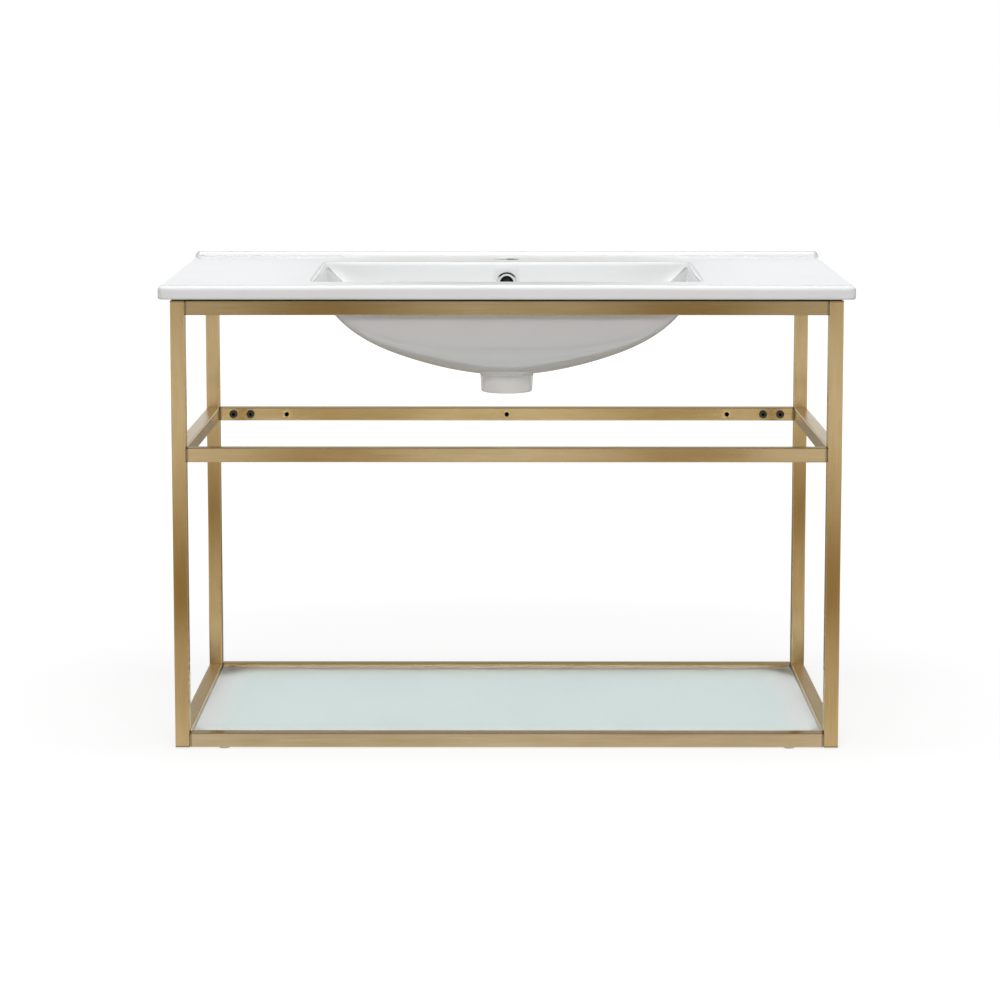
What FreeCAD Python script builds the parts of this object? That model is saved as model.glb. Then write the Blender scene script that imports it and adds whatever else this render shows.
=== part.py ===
import FreeCAD, Part
import math
import os

# Wall-hung console vanity unit: a ceramic basin top on a knock-down frame of square tube, with a
# loose glass shelf inside the bottom ring. Millimetres, +Z up, front towards -Y. The origin is on
# the floor under the bumpers, in the middle of the ceramic top's plan.

# Ceramic top
sink_width = 910.0
sink_depth = 465.0
sink_edge = 19.0
deck_rise = 8.0
sink_corner = 10.0
deck_round = 4.0
underside_round = 2.5
ridge_depth = 14.0
ridge_height = 6.0
ridge_round = 3.0

# Bowl: outside half an ellipse across, a squarer curve from front to back
bowl_shoulder = 10.0
bowl_side_step = 5.0
bowl_arch = 164.0
bowl_drop = 116.0
bowl_wall = 9.5
bowl_depth_power = 3.0
bowl_level_shares = (0.02, 0.08, 0.2, 0.4, 0.65, 1.0)
bowl_corner_shares = (0.9, 0.8, 0.65, 0.46, 0.26, 0.1)
bowl_root = 6.0

# Bowl opening in the deck
rim_width = 520.0
rim_corner = 14.0
rim_flare_drop = 23.0
front_lip = 50.0
back_shelf = 125.0

# Drain, tap hole and overflow
spigot_top_diameter = 72.0
spigot_bottom_diameter = 70.0
spigot_drop = 26.0
spigot_round = 2.5
drain_diameter = 45.0
drain_seat_diameter = 64.0
drain_seat_depth = 6.0
tap_hole_diameter = 35.0
tap_hole_setback = 67.5
tap_hole_round = 3.5
overflow_diameter = 22.0
overflow_drop = 26.2
overflow_seat_depth = 1.5
duct_width = 42.0
duct_offset = 15.0
channel_width = 24.0
channel_offset = 8.0
duct_curve_points = 9
ring_flange_diameter = 30.0
ring_hole_diameter = 19.0
ring_flange = 2.5
ring_round = 1.0
ring_sleeve = 8.0

# Frame of square tube
frame_height = 595.0
side_overhang = 15.0
front_overhang = 14.0
tube = 19.0
tube_wall = 1.5
tube_corner = 1.5
mid_rail_level = 382.0
rail_gap = 1.0
tongue_length = 58.0
plug_length = 14.0

# Holes in the frame
wall_hole_diameter = 6.4
wall_hole_inset = 98.5
leg_hole_diameter = 5.0
leg_hole_levels = (108.0, 462.0)

# Bolts of the cross rails
bolt_diameter = 6.0
bolt_length = 12.0
bolt_end = 20.5
bolt_pitch = 25.0
bolt_head_diameter = 12.0
bolt_head_height = 3.3
bolt_head_round = 2.2
bolt_socket = 4.0
bolt_socket_depth = 2.0
screw_head_diameter = 11.0

# Glass shelf and what it lies on
glass_thickness = 8.0
glass_recess = 4.0
glass_gap = 1.5
glass_corner = 4.0
glass_arris = 0.8
gusset_leg = 45.0
gusset_thickness = 2.5
shelf_pad_diameter = 12.0
shelf_pad_height = 1.5
shelf_pad_inset = 14.0

# Foam strips under the ceramic top and bumpers under the frame
sink_strip_height = 2.5
sink_strip_inset = 3.0
bumper_diameter = 17.0
bumper_flat_diameter = 13.0
bumper_height = 2.2

# Clearances
slip = 0.2
close_gap = 0.3
overrun = 5.0

# Places that follow from the sizes
half_sink = sink_width / 2
sink_front = -sink_depth / 2
sink_back = sink_depth / 2
half_frame = half_sink - side_overhang
half_inside = half_frame - tube
wall_hole_reach = half_inside - wall_hole_inset
frame_front = sink_front + front_overhang
frame_back = sink_back
inside_front = frame_front + tube
inside_back = frame_back - tube
frame_floor = bumper_height
frame_top = frame_floor + frame_height
slab_floor = frame_top + sink_strip_height
deck_front = slab_floor + sink_edge
deck_back = deck_front + deck_rise
deck_slope = deck_rise / sink_depth
rim_depth = sink_depth - front_lip - back_shelf
bowl_width = rim_width - 2 * bowl_side_step
bowl_depth = rim_depth + 2 * bowl_shoulder
bowl_middle = sink_front + front_lip + rim_depth / 2
bowl_floor = slab_floor - bowl_drop
bowl_centre_level = bowl_floor + bowl_arch
rim_level = deck_front + deck_slope * (bowl_middle - sink_front)
rail_levels = {
    "bottom": frame_floor,
    "middle": frame_floor + mid_rail_level,
    "top": frame_top - tube,
}
depth_places = {"front": frame_front, "back": inside_back}
side_signs = {"left": -1, "right": 1}
bolt_places = (half_inside - bolt_end, half_inside - bolt_end - bolt_pitch)
glass_top = frame_floor + tube - glass_recess
glass_floor = glass_top - glass_thickness
gusset_top = glass_floor - shelf_pad_height

X_AXIS = FreeCAD.Vector(1, 0, 0)
Y_AXIS = FreeCAD.Vector(0, 1, 0)
Z_AXIS = FreeCAD.Vector(0, 0, 1)


def point(x, y, z):
    return FreeCAD.Vector(x, y, z)


def block(low, high):
    """A box between two opposite corners."""
    size = high - low
    return Part.makeBox(size.x, size.y, size.z, low)


def cylinder(diameter, start, end):
    """A round bar from one point to another."""
    along = end - start
    return Part.makeCylinder(diameter / 2, along.Length, start, along)


def edges_along(shape, axis):
    """The straight edges of a shape that run along an axis."""
    chosen = []
    for edge in shape.Edges:
        run = edge.Vertexes[-1].Point - edge.Vertexes[0].Point
        if run.Length > 0 and abs(run.normalize().dot(axis)) > math.cos(math.radians(1)):
            chosen.append(edge)
    return chosen


def edges_at_level(shape, level):
    """The edges of a shape that lie flat at one height."""
    near = close_gap / 10
    return [e for e in shape.Edges if max(abs(v.Z - level) for v in e.Vertexes) < near
            and abs(e.BoundBox.ZMax - level) < near]


def rounded_outline(half_x, half_y, corner, middle, level):
    """A flat rectangle with round corners, as one wire of four lines and four arcs."""
    lean = corner * (1 - math.sqrt(0.5))
    edges = []
    turns = ((1, -1), (1, 1), (-1, 1), (-1, -1))
    for index, (sx, sy) in enumerate(turns):
        start_x, end_x = sx * half_x, sx * (half_x - corner)
        start_y, end_y = sy * (half_y - corner), sy * half_y
        if index % 2 == 0:
            start_x, end_x = end_x, start_x
            start_y, end_y = end_y, start_y
        arc_start = point(start_x, middle + start_y, level)
        arc_middle = point(sx * (half_x - lean), middle + sy * (half_y - lean), level)
        arc_end = point(end_x, middle + end_y, level)
        edges.append(Part.Arc(arc_start, arc_middle, arc_end).toShape())
    wire_edges = []
    for index, arc in enumerate(edges):
        following = edges[(index + 1) % len(edges)]
        wire_edges.append(arc)
        run_start = arc.valueAt(arc.LastParameter)
        run_end = following.valueAt(following.FirstParameter)
        wire_edges.append(Part.LineSegment(run_start, run_end).toShape())
    return Part.Wire(wire_edges)


def square_tube(low, high, axis):
    """A length of square tube along an axis, open at both ends."""
    outer = block(low, high)
    outer = outer.makeFillet(tube_corner, edges_along(outer, axis))
    inset = (point(1, 1, 1) - axis) * tube_wall - axis * overrun
    return outer.cut(block(low + inset, high - inset))


def placed(shape, at, direction):
    """A shape drawn along +Z, moved to a point and turned to a direction."""
    moved = shape.copy()
    moved.Placement = FreeCAD.Placement(at, FreeCAD.Rotation(Z_AXIS, direction))
    return moved


# Frame

def leg(side, depth_place):
    """One upright with its small round holes in the inner wall."""
    sign = side_signs[side]
    y_low = depth_places[depth_place]
    x_low = min(sign * half_inside, sign * half_frame)
    low = point(x_low, y_low, frame_floor)
    high = point(x_low + tube, y_low + tube, frame_top)
    shape = square_tube(low, high, Z_AXIS)
    for level in leg_hole_levels:
        middle = point(sign * half_inside, y_low + tube / 2, frame_floor + level)
        reach = X_AXIS * (tube_wall + slip)
        shape = shape.cut(cylinder(leg_hole_diameter, middle - reach, middle + reach))
    return shape


def side_rail(side, height):
    """A rail welded between the front and back legs of one side."""
    sign = side_signs[side]
    x_low = min(sign * half_inside, sign * half_frame)
    low = point(x_low, inside_front, rail_levels[height])
    high = point(x_low + tube, inside_back, rail_levels[height] + tube)
    return square_tube(low, high, Y_AXIS)


def bolt_seats(depth_place, height):
    """Where the bolts of a cross rail sit on its surface, and the way their heads face."""
    y_low = depth_places[depth_place]
    z_low = rail_levels[height]
    facing = Y_AXIS if depth_place == "front" else -Y_AXIS
    y_face = inside_front if depth_place == "front" else inside_back
    z_face = z_low + tube / 2
    if height == "bottom":
        facing = -Z_AXIS
        y_face = y_low + tube / 2
        z_face = z_low
    places = [sign * x for sign in side_signs.values() for x in bolt_places]
    return [(point(x, y_face, z_face), facing) for x in places]


def screw_head_cone(spread):
    """The cone under a flat screw head, drawn downwards from its face, widened by a clearance."""
    wide = screw_head_diameter / 2 + spread
    narrow = bolt_diameter / 2 + spread
    return Part.makeCone(narrow, wide, wide - narrow, point(0, 0, narrow - wide), Z_AXIS)


def cross_rail(depth_place, height):
    """A rail between the left and right legs, with its bolt holes and, on one, the wall holes."""
    y_low = depth_places[depth_place]
    z_low = rail_levels[height]
    reach_x = half_inside - rail_gap
    low = point(-reach_x, y_low, z_low)
    high = point(reach_x, y_low + tube, z_low + tube)
    shape = square_tube(low, high, X_AXIS)
    for seat, facing in bolt_seats(depth_place, height):
        depth = facing * (tube_wall + slip)
        shape = shape.cut(cylinder(bolt_diameter + 2 * close_gap, seat + depth, seat - depth))
        if height == "bottom":
            shape = shape.cut(placed(screw_head_cone(slip), seat, facing))
    if (depth_place, height) == ("back", "middle"):
        for x in (-wall_hole_reach, 0, wall_hole_reach):
            start = point(x, y_low - overrun, z_low + tube / 2)
            end = point(x, y_low + tube + overrun, z_low + tube / 2)
            shape = shape.cut(cylinder(wall_hole_diameter, start, end))
    return shape


def rail_tongues(side, depth_place):
    """The three tongues on one leg that the cross rails slide over, with their tapped holes."""
    sign = side_signs[side]
    y_low = depth_places[depth_place] + tube_wall + slip
    y_high = depth_places[depth_place] + tube - tube_wall - slip
    x_ends = sorted((sign * half_inside, sign * (half_inside - tongue_length)))
    tongues = []
    for height, z_low in rail_levels.items():
        low = point(x_ends[0], y_low, z_low + tube_wall + slip)
        high = point(x_ends[1], y_high, z_low + tube - tube_wall - slip)
        tongue = block(low, high)
        for seat, facing in bolt_seats(depth_place, height):
            tongue = tongue.cut(cylinder(bolt_diameter + slip, seat, seat - facing * tube))
            if height == "bottom":
                tongue = tongue.cut(placed(screw_head_cone(slip), seat, facing))
        tongues.append(tongue)
    return Part.makeCompound(tongues)


def hexagon_prism(across_flats, level, height):
    """A hexagonal prism on the Z axis, standing on a level."""
    corner = across_flats / math.sqrt(3)
    corners = []
    for step in range(7):
        angle = math.radians(60 * step)
        corners.append(point(corner * math.cos(angle), corner * math.sin(angle), level))
    return Part.Face(Part.makePolygon(corners)).extrude(Z_AXIS * height)


def button_bolt():
    """A button-head bolt with a hexagon socket, its head above the level of its seat."""
    head = Part.makeCylinder(bolt_head_diameter / 2, bolt_head_height)
    head = head.makeFillet(bolt_head_round, edges_at_level(head, bolt_head_height))
    shank = Part.makeCylinder(bolt_diameter / 2, bolt_length, point(0, 0, -bolt_length), Z_AXIS)
    socket_floor = bolt_head_height - bolt_socket_depth
    socket = hexagon_prism(bolt_socket, socket_floor, bolt_socket_depth + overrun)
    return head.fuse(shank).removeSplitter().cut(socket)


def flat_screw():
    """A flat-head screw with a hexagon socket, its head flush with the level of its seat."""
    shank = Part.makeCylinder(bolt_diameter / 2, bolt_length, point(0, 0, -bolt_length), Z_AXIS)
    socket = hexagon_prism(bolt_socket, -bolt_socket_depth, bolt_socket_depth + overrun)
    return shank.fuse(screw_head_cone(0)).removeSplitter().cut(socket)


def rail_bolts(depth_place, height):
    """The four bolts of one cross rail."""
    pattern = flat_screw() if height == "bottom" else button_bolt()
    bolts = [placed(pattern, seat, facing) for seat, facing in bolt_seats(depth_place, height)]
    return Part.makeCompound(bolts)


def leg_plugs(at_top):
    """The plugs that close the legs at one end."""
    z_low = frame_top - plug_length if at_top else frame_floor
    inset = tube_wall + slip
    plugs = []
    for sign in side_signs.values():
        x_low = min(sign * half_inside, sign * half_frame)
        for y_low in depth_places.values():
            low = point(x_low + inset, y_low + inset, z_low)
            high = point(x_low + tube - inset, y_low + tube - inset, z_low + plug_length)
            plugs.append(block(low, high))
    return Part.makeCompound(plugs)


# Shelf

def shelf_corners():
    """The inner corners of the bottom ring, each with the ways that lead away from it."""
    for sign in side_signs.values():
        for inside, away in ((inside_front, 1), (inside_back, -1)):
            yield point(sign * half_inside, inside, 0), -sign, away


def shelf_gussets():
    """A triangular plate in each corner of the bottom ring, fixed to the side rail."""
    plates = []
    for corner, away_x, away_y in shelf_corners():
        start = corner + point(0, away_y * close_gap, gusset_top - gusset_thickness)
        along_x = point(away_x * gusset_leg, 0, 0)
        along_y = point(0, away_y * gusset_leg, 0)
        outline = Part.makePolygon([start, start + along_x, start + along_y, start])
        plates.append(Part.Face(outline).extrude(Z_AXIS * gusset_thickness))
    return Part.makeCompound(plates)


def shelf_pads():
    """A soft pad on each gusset, under the glass."""
    pads = []
    for corner, away_x, away_y in shelf_corners():
        middle = corner + point(away_x * shelf_pad_inset, away_y * shelf_pad_inset, gusset_top)
        pads.append(cylinder(shelf_pad_diameter, middle, middle + Z_AXIS * shelf_pad_height))
    return Part.makeCompound(pads)


def glass_shelf():
    """The glass plate, with round corners and its sharp edges taken off."""
    low = point(-half_inside + glass_gap, inside_front + glass_gap, glass_floor)
    high = point(half_inside - glass_gap, inside_back - glass_gap, glass_top)
    plate = block(low, high)
    plate = plate.makeFillet(glass_corner, edges_along(plate, Z_AXIS))
    faces = edges_at_level(plate, glass_floor) + edges_at_level(plate, glass_top)
    return plate.makeChamfer(glass_arris, faces)


# Ceramic top

def bowl_half_sizes(level, inset):
    """Half the bowl's width and depth at a level, on the outside or inset into its wall."""
    sink_share = (bowl_centre_level - level) / (bowl_arch - inset)
    half_x = (bowl_width / 2 - inset) * math.sqrt(1 - sink_share ** 2)
    power = bowl_depth_power
    half_y = (bowl_depth / 2 - inset) * (1 - sink_share ** power) ** (1 / power)
    return half_x, half_y


def bowl_body(inset, top_level):
    """The bowl's rounded body from its floor up to a level, lofted through its cross-sections."""
    floor = bowl_floor + inset
    wires = []
    for level_share, corner_share in zip(bowl_level_shares, bowl_corner_shares):
        level = floor + level_share * (top_level - floor)
        half_x, half_y = bowl_half_sizes(level, inset)
        corner = corner_share * min(half_x, half_y)
        wires.append(rounded_outline(half_x, half_y, corner, bowl_middle, level))
    return Part.makeLoft(wires, True)


def bowl_rim():
    """The flared mouth of the bowl, from its upper wall out to the edge in the deck and past it."""
    low_level = rim_level - rim_flare_drop
    low_x, low_y = bowl_half_sizes(low_level, bowl_wall)
    low_corner = bowl_corner_shares[-1] * min(low_x, low_y)
    past = (deck_rise + overrun) / rim_flare_drop
    high_x = rim_width / 2 + past * (rim_width / 2 - low_x)
    high_y = rim_depth / 2 + past * (rim_depth / 2 - low_y)
    high_corner = rim_corner + past * (rim_corner - low_corner)
    high_level = rim_level + deck_rise + overrun
    low_wire = rounded_outline(low_x, low_y, low_corner, bowl_middle, low_level)
    high_wire = rounded_outline(high_x, high_y, high_corner, bowl_middle, high_level)
    return Part.makeLoft([low_wire, high_wire], True, True)


def bowl_curve(inset, top_level, end_reach):
    """The back half of the bowl's middle section, from a level down to a reach from its middle."""
    half = bowl_depth / 2 - inset
    height = bowl_arch - inset
    power = 2 / bowl_depth_power
    first = math.asin(((bowl_centre_level - top_level) / height) ** (1 / power))
    last = math.acos((end_reach / half) ** (1 / power))
    points = []
    for step in range(duct_curve_points):
        angle = first + (last - first) * step / (duct_curve_points - 1)
        y = bowl_middle + half * math.cos(angle) ** power
        z = bowl_centre_level - height * math.sin(angle) ** power
        points.append(point(0, y, z))
    curve = Part.BSplineCurve()
    curve.interpolate(points)
    return curve.toShape()


def bowl_band(outer_inset, inner_inset, width, top_level, end_reach):
    """A band between two insets of the bowl's back, of a width, down to the drain."""
    outer = bowl_curve(outer_inset, top_level, end_reach)
    inner = bowl_curve(inner_inset, top_level, end_reach)
    top_line = Part.LineSegment(inner.Vertexes[0].Point, outer.Vertexes[0].Point).toShape()
    end_line = Part.LineSegment(outer.Vertexes[-1].Point, inner.Vertexes[-1].Point).toShape()
    face = Part.Face(Part.Wire([top_line, outer, end_line, inner]))
    face.translate(X_AXIS * (-width / 2))
    return face.extrude(X_AXIS * width)


def deck_slab():
    """The flat top of the ceramic, a little higher at the back, with rounded edges."""
    outline = Part.makePolygon([
        point(-half_sink, sink_front, slab_floor),
        point(-half_sink, sink_back, slab_floor),
        point(-half_sink, sink_back, deck_back),
        point(-half_sink, sink_front, deck_front),
        point(-half_sink, sink_front, slab_floor),
    ])
    wedge = Part.Face(outline).extrude(X_AXIS * sink_width)
    slab = wedge.makeFillet(sink_corner, edges_along(wedge, Z_AXIS))
    slab = slab.makeFillet(underside_round, edges_at_level(slab, slab_floor))
    top_edges = [e for e in slab.Edges if min(v.Z for v in e.Vertexes) > deck_front - slip]
    return slab.makeFillet(deck_round, top_edges)


def back_ridge():
    """The low ridge along the back of the deck."""
    y_high = sink_back - deck_round
    x_reach = half_sink - deck_round
    low = point(-x_reach, y_high - ridge_depth, deck_front)
    high = point(x_reach, y_high, deck_back + ridge_height)
    bar = block(low, high)
    bar = bar.makeFillet(ridge_depth / 2 - close_gap, edges_along(bar, Z_AXIS))
    return bar.makeFillet(ridge_round, edges_at_level(bar, high.z))


def spigot():
    """The drain spigot under the bowl, a little narrower at its end."""
    low_level = bowl_floor - spigot_drop
    height = spigot_drop + bowl_wall
    cone = Part.makeCone(spigot_bottom_diameter / 2, spigot_top_diameter / 2, height,
                         point(0, bowl_middle, low_level), Z_AXIS)
    return cone.makeFillet(spigot_round, edges_at_level(cone, low_level))


def overflow_places():
    """The overflow hole's level, the flat seat of its ring and the far end of the hole."""
    level = rim_level - overflow_drop
    seat = bowl_middle + rim_depth / 2 - overflow_seat_depth
    far = bowl_middle + bowl_half_sizes(level, 0)[1] + channel_offset / 2
    return level, seat, far


def basin_top():
    """The whole ceramic piece: deck, ridge, bowl, drain, tap hole, overflow hole and its channel."""
    shape = deck_slab().fuse([
        back_ridge(),
        bowl_body(0, slab_floor + bowl_root),
        bowl_band(-duct_offset, bowl_wall / 2, duct_width, slab_floor + bowl_root,
                  drain_diameter / 2 + close_gap),
        spigot(),
    ])
    level, seat, far = overflow_places()
    channel_top = level + overflow_diameter / 2
    shape = shape.cut([
        bowl_body(bowl_wall, rim_level - rim_flare_drop),
        bowl_rim(),
        bowl_band(-channel_offset, 0, channel_width, channel_top, 0),
    ])
    drain_middle = point(0, bowl_middle, bowl_floor)
    seat_floor = bowl_floor + bowl_wall - drain_seat_depth
    seat_cone = Part.makeCone(drain_diameter / 2, drain_seat_diameter / 2, drain_seat_depth + overrun,
                              point(0, bowl_middle, seat_floor), Z_AXIS)
    tap = point(0, sink_back - tap_hole_setback, slab_floor)
    ring_room = ring_flange_diameter + 2 * close_gap
    shape = shape.cut([
        cylinder(drain_diameter, drain_middle - Z_AXIS * bowl_drop, drain_middle + Z_AXIS * bowl_drop),
        seat_cone,
        cylinder(tap_hole_diameter, tap - Z_AXIS * overrun, tap + Z_AXIS * (sink_edge + deck_rise + overrun)),
        cylinder(overflow_diameter, point(0, bowl_middle, level), point(0, far, level)),
        cylinder(ring_room, point(0, bowl_middle, level), point(0, seat, level)),
    ])
    rim_edges = [e for e in shape.Edges if e.BoundBox.ZMin > slab_floor + sink_edge / 2
                 and e.BoundBox.XLength < tap_hole_diameter + slip
                 and abs(e.BoundBox.Center.y - tap.y) < slip]
    return shape.makeFillet(tap_hole_round, rim_edges)


def overflow_ring():
    """The bright ring that lines the overflow hole: a flange on a sleeve."""
    level, seat, _ = overflow_places()
    flange = Part.makeCylinder(ring_flange_diameter / 2, ring_flange)
    flange = flange.makeFillet(ring_round, edges_at_level(flange, ring_flange))
    sleeve = Part.makeCylinder(overflow_diameter / 2 - close_gap, ring_sleeve,
                               point(0, 0, -ring_sleeve), Z_AXIS)
    hole = Part.makeCylinder(ring_hole_diameter / 2, ring_sleeve + ring_flange + 2 * overrun,
                             point(0, 0, -ring_sleeve - overrun), Z_AXIS)
    ring = flange.fuse(sleeve).removeSplitter().cut(hole)
    return placed(ring, point(0, seat, level), -Y_AXIS)


# Strips and bumpers

def sink_strips():
    """Foam strips on the four top rails and the leg tops, under the ceramic top."""
    strips = []
    reach_x = half_frame - sink_strip_inset
    for y_low in depth_places.values():
        low = point(-reach_x, y_low + sink_strip_inset, frame_top)
        high = point(reach_x, y_low + tube - sink_strip_inset, slab_floor)
        strips.append(block(low, high))
    for sign in side_signs.values():
        x_low = min(sign * half_inside, sign * half_frame)
        low = point(x_low + sink_strip_inset, inside_front, frame_top)
        high = point(x_low + tube - sink_strip_inset, inside_back, slab_floor)
        strips.append(block(low, high))
    return Part.makeCompound(strips)


def bumpers():
    """Clear domed bumpers under the ends of the front and back bottom rails."""
    pads = []
    for y_low in depth_places.values():
        for sign in side_signs.values():
            start = point(sign * bolt_places[-1], y_low + tube / 2, 0)
            pads.append(Part.makeCone(bumper_flat_diameter / 2, bumper_diameter / 2, bumper_height,
                                      start, Z_AXIS))
    return Part.makeCompound(pads)


def all_nodes():
    """Every named piece of the unit with its shape."""
    nodes = {}
    for depth_place in depth_places:
        for side in side_signs:
            nodes[f"leg_{depth_place}_{side}"] = leg(side, depth_place)
            nodes[f"rail_tongues_{depth_place}_{side}"] = rail_tongues(side, depth_place)
        for height in rail_levels:
            nodes[f"{height}_rail_{depth_place}"] = cross_rail(depth_place, height)
            nodes[f"{height}_bolts_{depth_place}"] = rail_bolts(depth_place, height)
    for side in side_signs:
        for height in rail_levels:
            nodes[f"{height}_rail_{side}"] = side_rail(side, height)
    nodes["leg_plugs_top"] = leg_plugs(True)
    nodes["leg_plugs_bottom"] = leg_plugs(False)
    nodes["shelf_gussets"] = shelf_gussets()
    nodes["shelf_pads"] = shelf_pads()
    nodes["glass_shelf"] = glass_shelf()
    nodes["basin_top"] = basin_top()
    nodes["overflow_ring"] = overflow_ring()
    nodes["sink_strips"] = sink_strips()
    nodes["bumpers"] = bumpers()
    return nodes


os.makedirs("parts", exist_ok=True)
for name, shape in all_nodes().items():
    shape.exportStep(f"parts/{name}.step")
    print(name, len(shape.Solids), "solids, valid", shape.isValid(), "volume", round(shape.Volume))
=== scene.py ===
"""Dresses the wall-hung console vanity unit: glazed basin top, brushed gold tubes, frosted shelf."""

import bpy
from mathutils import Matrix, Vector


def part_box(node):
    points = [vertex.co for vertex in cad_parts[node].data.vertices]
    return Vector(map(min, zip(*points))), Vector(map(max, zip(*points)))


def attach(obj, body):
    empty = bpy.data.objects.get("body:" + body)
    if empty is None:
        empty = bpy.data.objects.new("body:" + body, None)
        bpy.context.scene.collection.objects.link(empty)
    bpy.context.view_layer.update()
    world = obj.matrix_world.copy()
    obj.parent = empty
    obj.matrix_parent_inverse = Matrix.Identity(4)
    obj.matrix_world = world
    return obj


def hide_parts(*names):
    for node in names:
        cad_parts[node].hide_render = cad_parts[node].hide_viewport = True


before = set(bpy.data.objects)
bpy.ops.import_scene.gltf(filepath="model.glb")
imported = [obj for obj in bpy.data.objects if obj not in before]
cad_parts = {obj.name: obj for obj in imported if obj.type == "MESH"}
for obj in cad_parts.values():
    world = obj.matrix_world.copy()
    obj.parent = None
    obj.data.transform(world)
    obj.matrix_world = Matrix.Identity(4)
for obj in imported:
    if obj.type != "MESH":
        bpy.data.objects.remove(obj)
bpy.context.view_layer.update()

import logging
import math
from collections.abc import Sequence
from dataclasses import dataclass, field
from enum import Enum, IntEnum

import bmesh
import bpy
import numpy as np
from mathutils import Vector
from numpy.typing import NDArray

Floats = NDArray[np.float64]
Numbers = NDArray[np.int64]
Rows = tuple[Floats, Floats]
Pair = tuple[float, float]
Triple = tuple[float, float, float]
Colour = tuple[float, float, float, float]
Piece = bpy.types.Object
Material = bpy.types.Material
Socket = bpy.types.NodeSocket
Value = float | Socket
Shade = Colour | Socket

MM = 0.001
TINY = 1e-9
NEAR = 1e-3
ALL_SMOOTH = 180.0
OCTAVE_SHARE = 0.55
BODY = "frame"
UV_NAME = "surface"
END_NAME = "end_gap"
PAINTED_TINT_NAME = "painted_light_tint"
PAINTED_LIGHT_NAME = "painted_light_and_shade"
RECESS_SHADE_NAME = "painted_recess_shade"
OVERFLOW_LEVEL = 595.85
OVERFLOW_SEAT = 106.0
TAP_Y = 165.0
log = logging.getLogger("vanity")


class Axis(IntEnum):
    """A direction of the unit's own frame."""

    X = 0
    Y = 1
    Z = 2

    def others(self) -> list["Axis"]:
        """The two other directions, in order."""
        return [axis for axis in Axis if axis is not self]


class Slot(Enum):
    """The record's material slots of the new pieces."""

    CERAMIC = "ceramic"
    CHROME = "chrome"
    GOLD = "gold"
    BLACK_BOLT = "black_bolt"
    CLEAR_PAD = "clear_pad"


Hole = tuple[Axis, int, float, float]

# Meshes


class MeshDraft:
    """Vertices and faces in millimetres, collected as whole arrays and turned into one mesh."""

    def __init__(self) -> None:
        """Starts with nothing in it."""
        self._points: list[Floats] = []
        self._uvs: list[Floats] = []
        self._quads: list[Numbers] = [np.zeros((0, 4), int)]
        self._tris: list[Numbers] = [np.zeros((0, 3), int)]
        self._count = 0

    def add(self, points: Floats, uvs: Floats | None = None) -> Numbers:
        """Adds vertices.

        Args:
            points: Their places.
            uvs: Their surface places, or None for zeros.

        Returns:
            The numbers of the new vertices.
        """
        flat = np.reshape(points, (-1, 3))
        self._points.append(flat)
        self._uvs.append(np.zeros((len(flat), 2)) if uvs is None else np.reshape(uvs, (-1, 2)))
        self._count += len(flat)
        return np.arange(self._count - len(flat), self._count)

    def quads(self, faces: Numbers) -> None:
        """Adds four-sided faces, one row of vertex numbers each."""
        self._quads.append(faces)

    def chain(self, rings: Sequence[Numbers]) -> None:
        """Joins each closed ring of vertices to the next one with a band of quads."""
        for first, second in zip(rings, rings[1:]):
            self.quads(np.stack([first, np.roll(first, -1), np.roll(second, -1), second], axis=1))

    def cap(self, ring: Numbers, pole: Floats, uv: Floats | None = None) -> None:
        """Closes a ring with a fan of triangles to one point."""
        top = np.full_like(ring, self.add(pole, uv)[0])
        self._tris.append(np.stack([ring, np.roll(ring, -1), top], axis=1))

    def piece(self, name: str, wrap: float = 0.0, sharp: float = ALL_SMOOTH) -> Piece:
        """Makes the mesh object, in metres, with its faces turned outwards.

        Args:
            name: The piece's name.
            wrap: Length round the surface after which its first surface coordinate starts again.
            sharp: Edges with a larger angle than this, in degrees, stay sharp.

        Returns:
            The new object, linked into the scene.
        """
        points, uvs = np.concatenate(self._points) * MM, np.concatenate(self._uvs) * MM
        faces = [np.concatenate(self._quads), np.concatenate(self._tris)]
        mesh = bpy.data.meshes.new(name)
        mesh.from_pydata(points.tolist(), [], faces[0].tolist() + faces[1].tolist())
        corners = [unwrapped(uvs[run], wrap * MM).reshape(-1) for run in faces]
        mesh.uv_layers.new(name=UV_NAME).data.foreach_set("uv", np.concatenate(corners))
        turner = bmesh.new()
        turner.from_mesh(mesh)
        bmesh.ops.recalc_face_normals(turner, faces=turner.faces[:])
        turner.to_mesh(mesh)
        turner.free()
        mesh.polygons.foreach_set("use_smooth", np.ones(len(mesh.polygons), bool))
        if sharp < ALL_SMOOTH:
            mesh.set_sharp_from_angle(angle=math.radians(sharp))
        mesh.update()
        return linked(name, mesh)


def unwrapped(places: Floats, wrap: float) -> Floats:
    """Lifts the low corners of faces that cross the surface's seam, so that no face runs backwards.

    Args:
        places: Surface places of each face's corners.
        wrap: Length round the surface, or zero where it has no seam.

    Returns:
        The mended places.
    """
    around = places[..., :1]
    crossing = np.ptp(around, axis=1, keepdims=True) > wrap / 2
    return places + wrap * (crossing & (around < wrap / 2)) * np.array([1.0, 0.0])


def linked(name: str, data: bpy.types.ID) -> Piece:
    """Makes an object and puts it into the scene.

    Args:
        name: The object's name.
        data: Its mesh, lamp or camera.

    Returns:
        The new object.
    """
    made = bpy.data.objects.new(name, data)
    bpy.context.scene.collection.objects.link(made)
    return made


def store(piece: Piece, name: str, values: Floats) -> None:
    """Stores a number or a vector at each vertex."""
    kind, key = ("FLOAT", "value") if values.ndim == 1 else ("FLOAT_VECTOR", "vector")
    piece.data.attributes.new(name, kind, "POINT").data.foreach_set(key, values.reshape(-1))


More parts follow.
